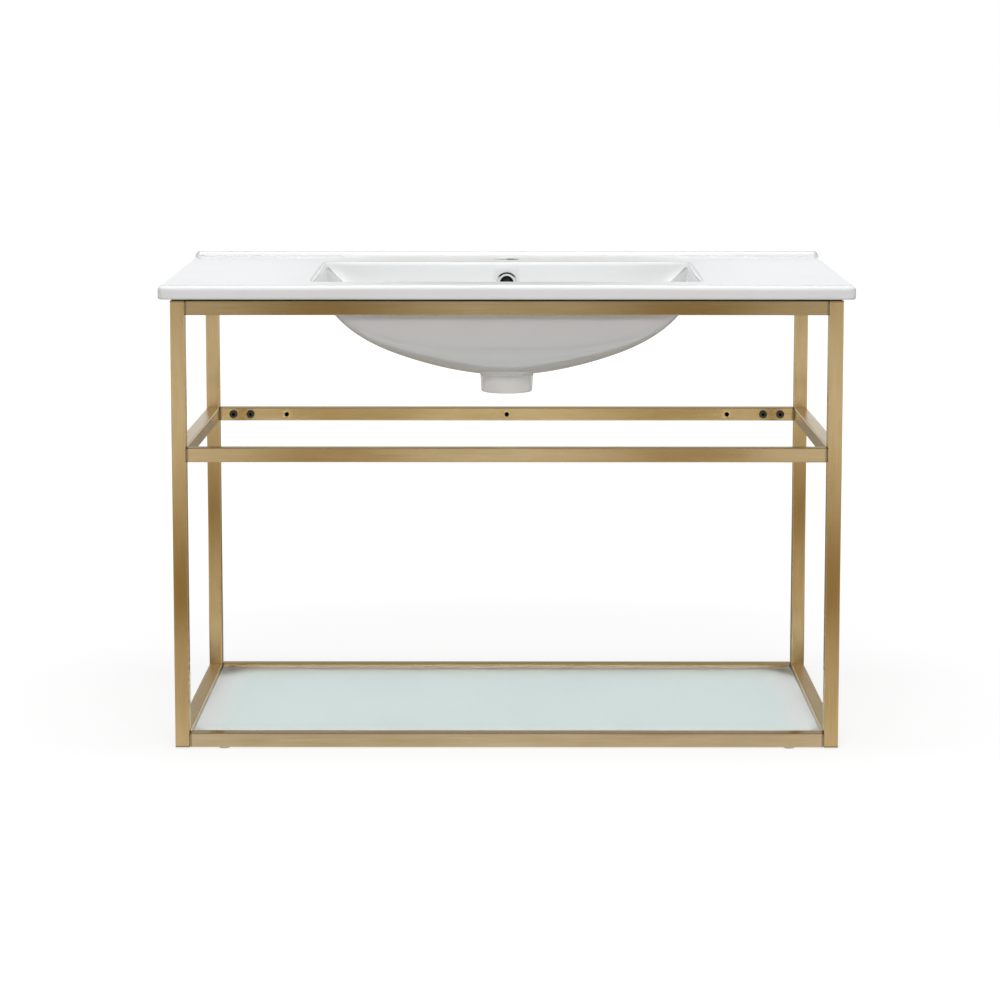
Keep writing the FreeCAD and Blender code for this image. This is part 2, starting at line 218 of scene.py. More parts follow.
@dataclass(frozen=True)
class Block:
    """A run of rows and columns of a grid that a round hole takes the place of."""

    row_start: int
    row_end: int
    column_start: int
    column_end: int

    def border(self, grid: Floats, across: Axis, up: Axis, middle: Pair) -> tuple[Numbers, Floats]:
        """Vertices of the block's border, sorted by the angle at which they stand about a hole's middle.

        Args:
            grid: The place of each row and column.
            across: The first direction of the hole's plane.
            up: The second one.
            middle: The hole's middle in these directions.

        Returns:
            The vertices' numbers and their angles.
        """
        rows = np.arange(self.row_start, self.row_end + 1)[:, None]
        numbers = rows * grid.shape[1] + np.arange(self.column_start, self.column_end + 1)
        ring = np.setdiff1d(numbers, numbers[1:-1, 1:-1])
        places = grid.reshape(-1, 3)[ring]
        angles = np.arctan2(places[:, up] - middle[1], places[:, across] - middle[0])
        order = np.argsort(angles)
        return ring[order], angles[order]


def grid_quads(rows: int, columns: int, close_rows: bool, blocks: Sequence[Block] = ()) -> Numbers:
    """Quads of a grid whose columns run round and close.

    Args:
        rows: How many rows the grid has.
        columns: How many columns it has.
        close_rows: Whether the last row joins the first.
        blocks: Blocks of cells to leave out.

    Returns:
        One row of four vertex numbers for each quad.
    """
    keep = np.ones((rows if close_rows else rows - 1, columns), bool)
    for block in blocks:
        keep[block.row_start:block.row_end, block.column_start:block.column_end] = False
    row, column = np.nonzero(keep)
    here, below = row * columns, (row + 1) % rows * columns
    right = (column + 1) % columns
    return np.stack([here + column, here + right, below + right, below + column], axis=1)


def smooth_step(low: float, high: float, value: Floats) -> Floats:
    """Zero below low, one above high, and three squares less two cubes between."""
    share = np.clip((value - low) / (high - low), 0.0, 1.0)
    return share * share * (3.0 - 2.0 * share)


def quarter(count: int) -> Floats:
    """Angles from zero to a quarter turn."""
    return np.linspace(0.0, math.pi / 2, count)


def circle(steps: int) -> Floats:
    """Angles once round, without the last one, which is the first again."""
    return np.linspace(0.0, 2.0 * math.pi, steps, endpoint=False)


def spread(axes: Sequence[Axis], *parts: Floats) -> Floats:
    """Places from their three coordinates, given in the order of the axes."""
    table = np.broadcast_arrays(*parts)
    return np.stack([table[axes.index(axis)] for axis in Axis], axis=-1)


def carried_round(reach: Floats, height: Floats, steps: int, axis: Axis) -> Floats:
    """A profile carried round an axis: reach times cosine and sine across it, height along it.

    Args:
        reach: Distance from the axis, one row for each point of the profile.
        height: Place along the axis of the same.
        steps: How many columns go round.
        axis: The direction of the axis.

    Returns:
        The place of each row and column.
    """
    angles = circle(steps)
    return spread((*axis.others(), axis), reach * np.cos(angles), reach * np.sin(angles), height)


def closed_copies(name: str, rows: Floats, middles: Sequence[Floats], sharp: float) -> Piece:
    """Copies of a profile carried round, each closed by a fan of triangles at both ends.

    Args:
        name: The piece's name.
        rows: The place of each row and column about the origin.
        middles: Where each copy's origin stands.
        sharp: Edges with a larger angle than this, in degrees, stay sharp.

    Returns:
        The new object.
    """
    draft = MeshDraft()
    for middle in middles:
        numbers = draft.add(rows + middle).reshape(rows.shape[:2])
        draft.quads(numbers[0, 0] + grid_quads(*numbers.shape, False))
        for end in (0, -1):
            draft.cap(numbers[end], middle + rows[end].mean(axis=0))
    return draft.piece(name, sharp=sharp)


def cad_box(node: str) -> tuple[Floats, Floats]:
    """Lowest and highest corner of a CAD node, in millimetres."""
    low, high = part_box(node)
    return np.array(low) / MM, np.array(high) / MM


# Finishes


def colour(red: float, green: float, blue: float) -> Colour:
    """An opaque linear colour."""
    return (red, green, blue, 1.0)


def even(value: float) -> Triple:
    """The same value three times."""
    return (value, value, value)


def grey(share: float) -> Colour:
    """A neutral linear colour."""
    return colour(*even(share))


class Bench:
    """The node tree of a material or world, with short ways to add nodes and join them."""

    def __init__(self, owner: Material | bpy.types.World) -> None:
        """Empties the owner's node tree.

        Args:
            owner: The material or world to work on.
        """
        self.owner = owner
        owner.use_nodes = True
        self.tree = owner.node_tree
        self.tree.nodes.clear()

    @classmethod
    def named(cls, name: str) -> "Bench":
        """A bench for a new material of this name."""
        return cls(bpy.data.materials.new(name))

    def add(self, kind: str, sockets: dict | None = None, **settings: str) -> bpy.types.Node:
        """Adds a node.

        Args:
            kind: The node's Blender type, without its leading words.
            sockets: Input name or number to a value to set or a socket to join.
            settings: Node properties to set.

        Returns:
            The new node.
        """
        node = self.tree.nodes.new("ShaderNode" + kind)
        for key, value in settings.items():
            setattr(node, key, value)
        for key, value in (sockets or {}).items():
            if isinstance(value, Socket):
                self.tree.links.new(value, node.inputs[key])
            else:
                node.inputs[key].default_value = value
        return node

    def place(self) -> Socket:
        """The piece's own coordinates, in metres."""
        return self.add("TexCoord").outputs["Object"]

    def parts(self, vector: Socket) -> Sequence[Socket]:
        """The three parts of a vector."""
        return self.add("SeparateXYZ", {"Vector": vector}).outputs

    def stored(self, name: str, output: str = "Fac") -> Socket:
        """What is stored at the vertices under a name."""
        return self.add("Attribute", attribute_name=name).outputs[output]

    def calc(self, operation: str, *values: Value) -> Socket:
        """A Math node's result for numbers or sockets."""
        return self.add("Math", dict(enumerate(values)), operation=operation).outputs[0]

    def times(self, first: Value, second: Value) -> Socket:
        """The product of two values."""
        return self.calc("MULTIPLY", first, second)

    def weighed(self, first: Socket, second: Socket, shares: Pair) -> Socket:
        """The sum of two values, each times its share."""
        return self.calc("ADD", self.times(first, shares[0]), self.times(second, shares[1]))

    def length(self, one: Socket, two: Socket) -> Socket:
        """The root of the sum of two squares."""
        return self.calc("SQRT", self.calc("ADD", self.times(one, one), self.times(two, two)))

    def turn(self, across: Socket, ahead: Socket) -> Socket:
        """Angle from straight ahead, without its sign."""
        return self.calc("ABSOLUTE", self.calc("ARCTAN2", across, ahead))

    def noise(self, vector: Socket, scale: Triple, detail: float = 3.0,
              shift: Triple = even(0.0)) -> Socket:
        """Noise between zero and one, with its own scale along each axis of a vector.

        Args:
            vector: The coordinates.
            scale: Features per metre along each axis.
            detail: Octaves of the noise.
            shift: Moves the pattern.

        Returns:
            The noise.
        """
        placed = self.add("Mapping", {"Vector": vector, "Scale": scale, "Location": shift}).outputs[0]
        sockets = {"Vector": placed, "Scale": 1.0, "Detail": detail, "Roughness": OCTAVE_SHARE}
        return self.add("TexNoise", sockets).outputs["Fac"]

    def grain(self, scale: float, detail: float = 3.0) -> Socket:
        """Noise of one scale in the piece's own coordinates."""
        return self.noise(self.place(), even(scale), detail)

    def ranged(self, value: Socket, start: float, end: float, low: float = 0.0,
               high: float = 1.0) -> Socket:
        """Maps start to end onto low to high, smoothly and with both ends held."""
        sockets = {"Value": value, "From Min": start, "From Max": end, "To Min": low, "To Max": high}
        return self.add("MapRange", sockets, interpolation_type="SMOOTHSTEP").outputs[0]

    def mix(self, share: Value, first: Shade, second: Shade) -> Socket:
        """A colour between two colours."""
        return self.add("Mix", {0: share, 6: first, 7: second}, data_type="RGBA").outputs[2]

    def blend(self, value: Socket, reach: Pair, first: Shade, second: Shade) -> Socket:
        """A colour that goes from one to another while a value goes through a reach."""
        return self.mix(self.ranged(value, *reach), first, second)

    def ramp(self, value: Socket, stops: Sequence[tuple[float, Colour]]) -> Socket:
        """A colour that follows a value through stops between zero and one.

        Args:
            value: The value to follow.
            stops: Place and colour of each stop, in order.

        Returns:
            The colour.
        """
        node = self.add("ValToRGB", {"Fac": value})
        elements = node.color_ramp.elements
        elements[0].position, elements[0].color = stops[0]
        elements[1].position, elements[1].color = stops[-1]
        for place, shade in stops[1:-1]:
            elements.new(place).color = shade
        return node.outputs[0]

    def bump(self, height: Socket, depth: float) -> Socket:
        """A normal from a height, with its depth in metres."""
        return self.add("Bump", {"Height": height, "Distance": depth, "Strength": 1.0}).outputs[0]

    def light(self, kind: str, shade: Shade, strength: Value = 1.0) -> Socket:
        """A shader that sends out light of a colour."""
        return self.add(kind, {"Color": shade, "Strength": strength}).outputs[0]

    def matt(self, shade: Shade) -> Socket:
        """A shader of a matt surface."""
        return self.add("BsdfDiffuse", {"Color": shade}).outputs[0]

    def either(self, share: Value, first: Socket, second: Socket) -> Socket:
        """A shader between two shaders."""
        return self.add("MixShader", {0: share, 1: first, 2: second}).outputs[0]

    def reflected(self) -> Socket:
        """One for rays mirrored by gloss and zero for others, also for those through rough glass."""
        path = self.add("LightPath").outputs
        return self.times(path["Is Glossy Ray"], self.calc("SUBTRACT", 1.0, path["Is Transmission Ray"]))

    def shown(self) -> Socket:
        """One for rays from the camera, from gloss or through glass, and zero for other light."""
        path = self.add("LightPath").outputs
        return self.calc("MAXIMUM", self.calc("MAXIMUM", path["Is Camera Ray"], path["Is Glossy Ray"]),
                         path["Is Transmission Ray"])

    def finish(self, shader: Socket) -> Material:
        """Joins a shader to the output and gives the material."""
        self.add("OutputMaterial", {"Surface": shader})
        return self.owner

    def surface(self, base: Socket, rough: Socket, **sockets: Value) -> Material:
        """Ends a material with one surface; further inputs are named with _ for a space."""
        named = {key.replace("_", " "): value for key, value in sockets.items()}
        return self.finish(self.add("BsdfPrincipled", {
            "Base Color": base, "Roughness": rough, **named}).outputs[0])


@dataclass(frozen=True)
class Grained:
    """A metal, coat or moulding with a fine grain, with painted shade, near black, in its recesses."""

    name: str
    base: Colour
    grain: Colour
    roughness: Pair
    scale: Triple
    colour_reach: Pair = (0.35, 0.7)
    rough_reach: Pair = (0.3, 0.7)
    detail: float = 3.0
    depth: float = 0.00002
    metallic: float = 0.0
    transmission: float = 0.0
    # Painted shade, near black, where a recess is stored.
    painted_recess_shade: Colour = grey(0.004)

    def material(self) -> Material:
        """The finish of a small piece.

        Returns:
            The material.
        """
        bench = Bench.named(self.name)
        grain = bench.noise(bench.place(), self.scale, self.detail)
        base = bench.blend(grain, self.colour_reach, self.base, self.grain)
        # Painted shade in the recesses.
        base = bench.mix(bench.stored(RECESS_SHADE_NAME), base, self.painted_recess_shade)
        rough = bench.ranged(grain, *self.rough_reach, *self.roughness)
        return bench.surface(base, rough, Transmission_Weight=self.transmission, Metallic=self.metallic,
                             Normal=bench.bump(grain, self.depth))


@dataclass(frozen=True)
class BrushedGold:
    """Brushed gold plating: brush lines along the tube, edges rubbed lighter, dull near the joints, and
    painted light and shade that scale each tube's colour.
    """

    light: Colour = colour(0.655, 0.505, 0.29)
    deep: Colour = colour(0.55, 0.41, 0.205)
    rubbed: Colour = colour(0.68, 0.54, 0.32)
    joint: Colour = colour(0.20, 0.13, 0.06)
    tube_perimeter: float = 0.0734
    roughness: Pair = (0.18, 0.25)
    streak_scale: Triple = (900.0, 9.0, 1.0)
    hair_scale: Triple = (3400.0, 26.0, 1.0)
    hair_shift: Triple = (7.1, 3.3, 0.0)
    hair_reach: Pair = (0.25, 0.75)
    cloud_scale: Triple = (60.0, 12.0, 1.0)
    cloud_shift: Triple = (1.7, 9.2, 0.0)
    cloud_reach: Pair = (0.30, 0.80)
    cloud_shares: Pair = (0.6, 0.5)
    line_shares: Pair = (0.6, 0.4)
    line_depth: float = 0.000008
    rub_reach: Pair = (0.0004, 0.0022)
    rub_share: float = 0.30
    joint_reach: Pair = (0.0004, 0.0030)
    joint_share: float = 0.75
    plate_roughness: Pair = (0.31, 0.41)
    plate_scale: Triple = (12.0, 900.0, 900.0)
    plate_reach: Pair = (0.3, 0.7)

    def tube(self) -> Material:
        """The finish of a tube, read from its surface coordinates: across, then along.

        Returns:
            The material.
        """
        bench = Bench.named("brushed_gold_tube")
        place = bench.add("UVMap", uv_map=UV_NAME).outputs[0]
        streaks = bench.noise(place, self.streak_scale, 4.0)
        hairs = bench.noise(place, self.hair_scale, 2.0, self.hair_shift)
        clouds = bench.noise(place, self.cloud_scale, 2.0, self.cloud_shift)
        clouded = bench.weighed(streaks, clouds, self.cloud_shares)
        base = bench.blend(clouded, self.cloud_reach, self.deep, self.light)
        # Painted light and shade: the stored scale makes some tubes lighter and the top front rail
        # darker.
        painted_tint = bench.stored(PAINTED_TINT_NAME, "Vector")
        base = bench.add("VectorMath", {0: base, 1: painted_tint}, operation="MULTIPLY").outputs[0]
        corner = bench.calc("PINGPONG", bench.parts(place)[0], self.tube_perimeter / 8)
        base = bench.mix(bench.ranged(corner, *self.rub_reach, self.rub_share, 0.0), base, self.rubbed)
        seam = bench.ranged(bench.stored(END_NAME), *self.joint_reach, self.joint_share, 0.0)
        base = bench.mix(seam, base, self.joint)
        rough = bench.ranged(hairs, *self.hair_reach, *self.roughness)
        tangent = bench.add("Tangent", direction_type="UV_MAP", uv_map=UV_NAME).outputs[0]
        lines = bench.bump(bench.weighed(streaks, hairs, self.line_shares), self.line_depth)
        return bench.surface(base, rough, Metallic=1.0, Anisotropic=1.0, Tangent=tangent, Normal=lines)

    def plate(self) -> Material:
        """The finish of the small plates, brushed along X."""
        return Grained("brushed_gold_plate", self.deep, self.light, self.plate_roughness,
                       self.plate_scale, self.plate_reach, metallic=1.0).material()


@dataclass(frozen=True)
class GlazedCeramic:
    """White vitreous glaze: deep gloss over a body with the faintest cloud.

    Painted light and shade stored on the skin make it whiter, as a painted highlight, or greyer, as
    painted shade; the overflow hole is painted near black as shade, and the tap hole's unglazed wall gets
    painted shade.
    """

    white: Colour = colour(0.86, 0.867, 0.872)
    cloud: Colour = colour(0.835, 0.843, 0.852)
    # bright is the painted highlight and the grey after it the painted shade that the stored light and
    # shade mix in.
    bright: Colour = colour(0.98, 0.985, 0.985)
    painted_shade: Colour = grey(0.30)
    # Painted shade, near black, inside the overflow hole.
    painted_hollow_dark: Colour = colour(0.016, 0.017, 0.017)
    # Unglazed clay, darkened with painted shade, for the tap hole's wall.
    shaded_raw: Colour = colour(0.20, 0.19, 0.17)
    cloud_scale: float = 9.0
    cloud_reach: Pair = (0.35, 0.65)
    ripple_scale: float = 1400.0
    ripple_reach: Pair = (0.3, 0.8)
    roughness: Pair = (0.05, 0.08)
    ior: float = 1.52
    dulling: Pair = (0.18, 0.012)
    dull_width: Pair = (0.16, 0.29)
    dull_depth: Pair = (0.107, 0.122)
    overflow_seat: float = 0.1066
    overflow_radius: float = 0.0113
    tap_radius: float = 0.0205
    # Where the tap hole's painted shade lies: below the deck's top, and stronger to the right.
    tap_wall_top: Pair = (0.6240, 0.6249)
    tap_wall_sides: Pair = (-0.004, 0.004)
    tap_wall_shares: Pair = (0.35, 1.0)

    def material(self) -> Material:
        """The finish of the basin top.

        Returns:
            The material.
        """
        bench = Bench.named("glazed_ceramic")
        place = bench.parts(bench.place())
        cloudy = bench.grain(self.cloud_scale)
        base = bench.blend(cloudy, self.cloud_reach, self.white, self.cloud)
        # Painted light and shade: whiter as a painted highlight, greyer as painted shade.
        painted_light_share = bench.stored(PAINTED_LIGHT_NAME)
        base = bench.blend(painted_light_share, (0.0, 1.0), base, self.bright)
        base = bench.mix(bench.ranged(painted_light_share, -1.0, 0.0, 1.0, 0.0), base, self.painted_shade)
        # Painted shade inside the overflow hole.
        base = bench.mix(self.overflow_shade(bench, *place), base, self.painted_hollow_dark)
        # Unglazed wall with painted shade in the tap hole, stronger to the right.
        base = bench.mix(self.tap_wall_shade(bench, *place), base, self.shaded_raw)
        ripple = bench.grain(self.ripple_scale, 1.0)
        rough = bench.ranged(ripple, *self.ripple_reach, *self.roughness)
        rough = bench.calc("ADD", rough, self.behind_bowl(bench, place[0], place[1]))
        return bench.surface(base, rough, IOR=self.ior)

    def behind_bowl(self, bench: Bench, x: Socket, y: Socket) -> Socket:
        """How much duller the glaze lies on the deck behind the bowl, fading out to both sides."""
        wide = bench.ranged(bench.calc("ABSOLUTE", x), *self.dull_width, *self.dulling)
        return bench.times(wide, bench.ranged(y, *self.dull_depth))

    def overflow_shade(self, bench: Bench, x: Socket, y: Socket, z: Socket) -> Socket:
        """One inside the overflow hole, which is painted near black as shade, and zero elsewhere."""
        away = bench.length(x, bench.calc("SUBTRACT", z, OVERFLOW_LEVEL * MM))
        return bench.times(bench.calc("LESS_THAN", away, self.overflow_radius),
                           bench.calc("GREATER_THAN", y, self.overflow_seat))

    def tap_wall_shade(self, bench: Bench, x: Socket, y: Socket, z: Socket) -> Socket:
        """Painted shade on the tap hole's unglazed wall: one on its right, less on its left, below the
        deck's top, and zero elsewhere.

        Args:
            bench: The bench to work on.
            x: The place's first part.
            y: Its second part.
            z: Its third part.

        Returns:
            The share.
        """
        away = bench.length(x, bench.calc("SUBTRACT", y, TAP_Y * MM))
        near = bench.calc("LESS_THAN", away, self.tap_radius)
        low = bench.ranged(z, *self.tap_wall_top, 1.0, 0.0)
        side = bench.ranged(x, *self.tap_wall_sides, *self.tap_wall_shares)
        return bench.times(bench.times(near, low), side)


@dataclass(frozen=True)
class FrostedGlass:
    """Pale green frosted glass with painted light along its border: a paler band."""

    body: Colour = colour(0.88, 0.99, 0.98)
    deep: Colour = colour(0.86, 0.975, 0.965)
    # edge is the painted light along the border, fading out over the border reach.
    edge: Colour = colour(0.97, 1.0, 1.0)
    half_width: float = 0.4195
    half_depth: float = 0.205
    middle: float = 0.007
    border: Pair = (0.006, 0.055)
    drift_scale: Triple = (5.0, 7.0, 5.0)
    drift_reach: Pair = (0.3, 0.7)
    frost_scale: float = 1800.0
    frost_reach: Pair = (0.3, 0.7)
    frost_depth: float = 0.00001
    roughness: Pair = (0.40, 0.50)
    ior: float = 1.42
    transmission: float = 0.92

    def material(self) -> Material:
        """The finish of the shelf, with its band of painted light worked out from the plate's border.

        Returns:
            The material.
        """
        bench = Bench.named("frosted_glass")
        x, y, _ = bench.parts(bench.place())
        x_gap = bench.calc("SUBTRACT", self.half_width, bench.calc("ABSOLUTE", x))
        y_out = bench.calc("ABSOLUTE", bench.calc("SUBTRACT", y, self.middle))
        gap = bench.calc("MINIMUM", x_gap, bench.calc("SUBTRACT", self.half_depth, y_out))
        frost = bench.grain(self.frost_scale, 2.0)
        drift = bench.noise(bench.place(), self.drift_scale, 2.0)
        base = bench.blend(drift, self.drift_reach, self.body, self.deep)
        # Painted light: paler towards the plate's border.
        base = bench.mix(bench.ranged(gap, *self.border, 1.0, 0.0), base, self.edge)
        rough = bench.ranged(frost, *self.frost_reach, *self.roughness)
        frosted = bench.bump(frost, self.frost_depth)
        return bench.surface(base, rough, IOR=self.ior, Transmission_Weight=self.transmission,
                             Normal=frosted)


@dataclass(frozen=True)
class RingChrome:
    """Bright chrome with a painted dark reflection in the upper half of its groove and painted shade in
    its bore.
    """

    bright: Colour = colour(0.95, 0.95, 0.955)
    hazed: Colour = colour(0.88, 0.885, 0.89)
    painted_dark: Colour = colour(0.012, 0.013, 0.014)
    bore: float = 0.0096
    groove: Pair = (0.0124, 0.0146)
    painted_shade_rise: Pair = (0.005, 0.010)
    haze_scale: float = 420.0
    haze_reach: Pair = (0.4, 0.75)
    rough_reach: Pair = (0.35, 0.75)
    roughness: Pair = (0.10, 0.18)
    metallic: float = 0.5

    def material(self) -> Material:
        """The finish of the overflow ring, its painted dark worked out from the distance from its axis
        and the height.

        Returns:
            The material.
        """
        bench = Bench.named("chrome_ring")
        x, _, z = bench.parts(bench.place())
        up = bench.calc("SUBTRACT", z, OVERFLOW_LEVEL * MM)
        away = bench.length(x, up)
        haze = bench.grain(self.haze_scale)
        base = bench.blend(haze, self.haze_reach, self.bright, self.hazed)
        # Painted dark reflection in the groove, fading in above the axis, and painted shade in the bore.
        past = bench.calc("GREATER_THAN", away, self.groove[0])
        before = bench.calc("LESS_THAN", away, self.groove[1])
        groove_shade = bench.times(bench.times(past, before), bench.ranged(up, *self.painted_shade_rise))
        painted_hollow_dark = bench.calc("MAXIMUM", groove_shade, bench.calc("LESS_THAN", away, self.bore))
        rough = bench.ranged(haze, *self.rough_reach, *self.roughness)
        return bench.surface(bench.mix(painted_hollow_dark, base, self.painted_dark), rough, Metallic=self.metallic)


def dress(piece: Piece, material: Material) -> None:
    """Puts one material on a piece, in place of what it had."""
    piece.data.materials.clear()
    piece.data.materials.append(material)


def hand_over(piece: Piece, material: Material, node: str) -> None:
    """Dresses a new piece and lets it ride on the frame in the place of a CAD node.

    Args:
        piece: The new piece.
        material: Its material.
        node: The CAD node that it stands for.
    """
    dress(piece, material)
    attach(piece, BODY)
    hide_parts(node)
    log.info("%s: %d faces", piece.name, len(piece.data.polygons))


# Ceramic top


def joined(*parts: Rows) -> Rows:
    """Puts parts of a skin together, reach with reach and height with height."""
    reach, height = (np.concatenate(run) for run in zip(*parts))
    return reach, height


@dataclass
class CeramicTop:
    """The basin top as one closed skin carried round the drain, in millimetres.

    Every row is a closed line round the drain's axis, given by its reach from that axis at each
    column's angle and by its height. The rows lead from the drain up the bowl, over the rim and
    the deck, round the outer edge, back under the deck, down the outside of the bowl and up the
    spigot's bore to the first row.
    """

    half_width: float = 455.0
    front: float = -232.5
    back: float = 232.5
    floor: float = 599.7
    edge: float = 18.2
    rise: float = 8.8
    bow: float = 0.9
    bow_reach: Pair = (110.0, 340.0)
    corner: float = 10.0
    top_round: float = 7.0
    low_round: float = 2.5
    face_gap: float = 0.6
    round_steps: int = 9
    bowl_steps: int = 28
    flare_steps: int = 8
    rim_steps: int = 8
    deck_steps: int = 16
    root_steps: int = 6
    outside_steps: int = 26
    tap_steps: int = 7
    deck_start: Pair = (0.012, 0.05)
    under_start: Pair = (0.01, 0.06)
    ridge_depth: float = 11.0
    ridge_height: float = 6.0
    ridge_slope: float = 9.0
    middle: float = -37.5
    bowl_half_width: float = 255.0
    bowl_half_depth: float = 155.0
    bowl_arch: float = 164.0
    bowl_floor: float = 483.7
    wall: float = 9.5
    rim_half_width: float = 256.5
    rim_half_depth: float = 142.8
    rim_round: float = 4.5
    rim_power: float = 33.0
    floor_power: float = 2.2
    power_rise: float = 2.4
    flare_level: float = 599.05
    inner_turn: float = 0.187
    outer_turn: float = 0.217
    root_round: float = 8.0
    duct: float = 15.0
    duct_sides: Pair = (16.0, 22.0)
    duct_front: Pair = (0.0, 6.0)
    spigot_length: float = 26.0
    tap_radius: float = 17.5
    tap_round: float = 3.5
    tap_flat: float = 0.8
    tap_room: float = 5.0
    tap_foot: tuple[Pair, ...] = ((0.0, 1.0), (0.3, 0.3), (1.0, 0.0))
    tap_spread: float = 8.5
    overflow_radius: float = 11.0
    overflow_depth: float = 14.0
    seat_radius: float = 15.3
    seat_room: float = 3.0
    seat_lead: Pair = (0.9, 0.2)
    seat_lift: float = 0.3
    seat_lip: float = 0.4
    overflow_spread: float = 8.0
    # Painted light and shade on the glaze: painted shade on the bowl's steep side walls, painted
    # highlights on its back wall, the ridge's front, the rounded front edge and the spigot, and painted
    # shade on the ridge's crest and the back rounding.
    side_wall: Pair = (-0.02, 0.05)
    side_fade: Pair = (0.05, 0.30)
    side_fade_share: float = 0.28
    wall_foot: Pair = (-75.0, -25.0)
    wall_top: Pair = (-1.5, 1.5)
    back_wall: Pair = (0.0, 0.1)
    back_wall_painted_light: float = 0.6
    ridge_foot: Pair = (0.0, 0.75)
    ridge_top: Pair = (0.88, 0.98)
    ridge_painted_tones: Pair = (0.9, 1.45)
    edge_painted_tones: Pair = (0.9, 0.5)
    spigot_painted_light: float = 0.8
    deck_border: float = 22.0
    deck_insets: tuple[float, ...] = (21.0, 20.0, 19.0, 18.05, 17.8, 17.0, 16.0, 15.0, 14.0, 13.0, 12.0,
                                      11.0, 10.0, 9.0, 8.0, 7.4)
    drain: tuple[Pair, ...] = ((22.5, -7.0), (23.0, -6.0), (30.6, -1.1), (32.0, -0.2), (34.5, 0.4))
    neck: tuple[Pair, ...] = ((46.0, 1.6), (42.0, 0.6), (39.6, 0.1), (37.6, -0.7), (36.4, -2.0),
                              (36.0, -4.0), (35.9, -5.0))
    spigot: tuple[Pair, ...] = ((35.1, 3.2), (35.0, 2.5), (34.6, 1.2), (33.7, 0.35), (32.5, 0.0),
                                (31.5, 0.0), (24.4, 0.0), (23.5, 0.2), (22.8, 0.8), (22.5, 1.7),
                                (22.5, 2.6))
    spans: tuple[tuple[int, int, int], ...] = (
        (-90, -34, 34), (-34, -18, 44), (-18, 22, 20), (22, 36, 52), (36, 78, 24), (78, 102, 48),
        (102, 144, 24), (144, 158, 52), (158, 198, 20), (198, 214, 44), (214, 270, 34))
    from_back: Floats = field(init=False)
    cosine: Floats = field(init=False)
    sine: Floats = field(init=False)

    def __post_init__(self) -> None:
        """Spreads the columns, closer at the corners and behind the bowl."""
        runs = [np.linspace(start, end, count, endpoint=False) for start, end, count in self.spans]
        angles = np.radians(np.concatenate(runs))
        self.from_back = np.abs(np.degrees(angles) - 90.0)
        self.cosine, self.sine = np.cos(angles), np.sin(angles)

    def oblong(self, inset: float) -> Floats:
        """Reach to the outer outline, a rectangle with round corners, moved in by an inset.

        The reach is the nearer of the two straight sides, or the corner's circle where it lies past
        the circle's middle both ways.

        Args:
            inset: How far the outline is moved in.

        Returns:
            One reach for each column.
        """
        across, along = np.abs(self.cosine), np.abs(self.sine)
        half_x = self.half_width - inset
        half_y = np.where(self.sine >= 0, self.back - self.middle, self.middle - self.front) - inset
        radius = max(self.corner - inset, 1.0)
        straight = np.minimum(half_x / np.maximum(across, TINY), half_y / np.maximum(along, TINY))
        middle_x, middle_y = half_x - radius, half_y - radius
        toward = across * middle_x + along * middle_y
        root = toward ** 2 - middle_x ** 2 - middle_y ** 2 + radius ** 2
        arc = toward + np.sqrt(np.maximum(root, 0.0))
        past = (across * straight > middle_x) & (along * straight > middle_y)
        return np.where(past, arc, straight)

    def outlines(self, insets: Sequence[float]) -> Floats:
        """Reach to the outer outline at each of some insets."""
        return np.stack([self.oblong(inset) for inset in insets])

    def oval(self, half_x: Floats, half_y: Floats, power: Floats | float) -> Floats:
        """Reach to a squared oval: one over the power's root of the sum of both shares' powers."""
        shares = (np.abs(self.cosine) / half_x) ** power + (np.abs(self.sine) / half_y) ** power
        return shares ** (-1.0 / power)

    def plane(self, x: Floats, y: Floats) -> Floats:
        """Height of the deck without its ridge: it rises to the back, and its front bows up."""
        depth = (y - self.front) / (self.back - self.front)
        return (self.floor + self.edge + self.rise * depth
                + self.bow * (1.0 - depth) * (1.0 - smooth_step(*self.bow_reach, np.abs(x))))

    def height(self, reach: Floats) -> Floats:
        """Height of the deck with the ridge along its back."""
        plane = self.plane(reach * self.cosine, self.middle + reach * self.sine)
        return plane + self.ridge_height * self.ridge_share(reach)

    def ridge_share(self, reach: Floats) -> Floats:
        """How far the ridge has risen: a quarter sine up its front, from end to end of the deck."""
        start = self.back - self.middle - self.top_round - self.ridge_depth
        return np.sin(np.clip((reach * self.sine - start) / self.ridge_slope, 0.0, 1.0) * math.pi / 2)

    def painted_tones(self, reach: Floats, level: Floats, starts: Numbers) -> Floats:
        """Painted light and shade on the glaze: one for the whitest painted highlight, minus one for the
        greyest painted shade.

        It is a painted highlight on the rounded edge, as the fourth power of the sine of twice the bend,
        low on the ridge, on the bowl's back wall and on the spigot. It is painted shade high on the ridge
        and its back, and on the bowl's steep side walls, where it fades out from the corners and towards
        the floor.

        Args:
            reach: Reach of each row and column.
            level: Height of the same.
            starts: The first row of each part of the skin.

        Returns:
            The painted light and shade of each row and column.
        """
        painted_tones = np.zeros_like(reach)
        bowl, deck = slice(0, starts[1]), slice(starts[1], starts[2])
        # Painted shade on the bowl's steep side walls and a painted highlight on its back wall.
        up = level[bowl] - (self.floor + self.edge + self.rise / 2 - self.rim_round)
        corner = (np.abs(reach[bowl] * self.cosine) / self.rim_half_width
                  - np.abs(reach[bowl] * self.sine) / self.rim_half_depth)
        walls = smooth_step(*self.side_wall, corner)
        walls *= 1.0 - self.side_fade_share * smooth_step(*self.side_fade, corner)
        walls *= smooth_step(*self.wall_foot, up) * (1.0 - smooth_step(*self.wall_top, up))
        behind = smooth_step(*self.back_wall, -corner) * (self.sine > 0)
        painted_tones[bowl] = self.back_wall_painted_light * behind - walls
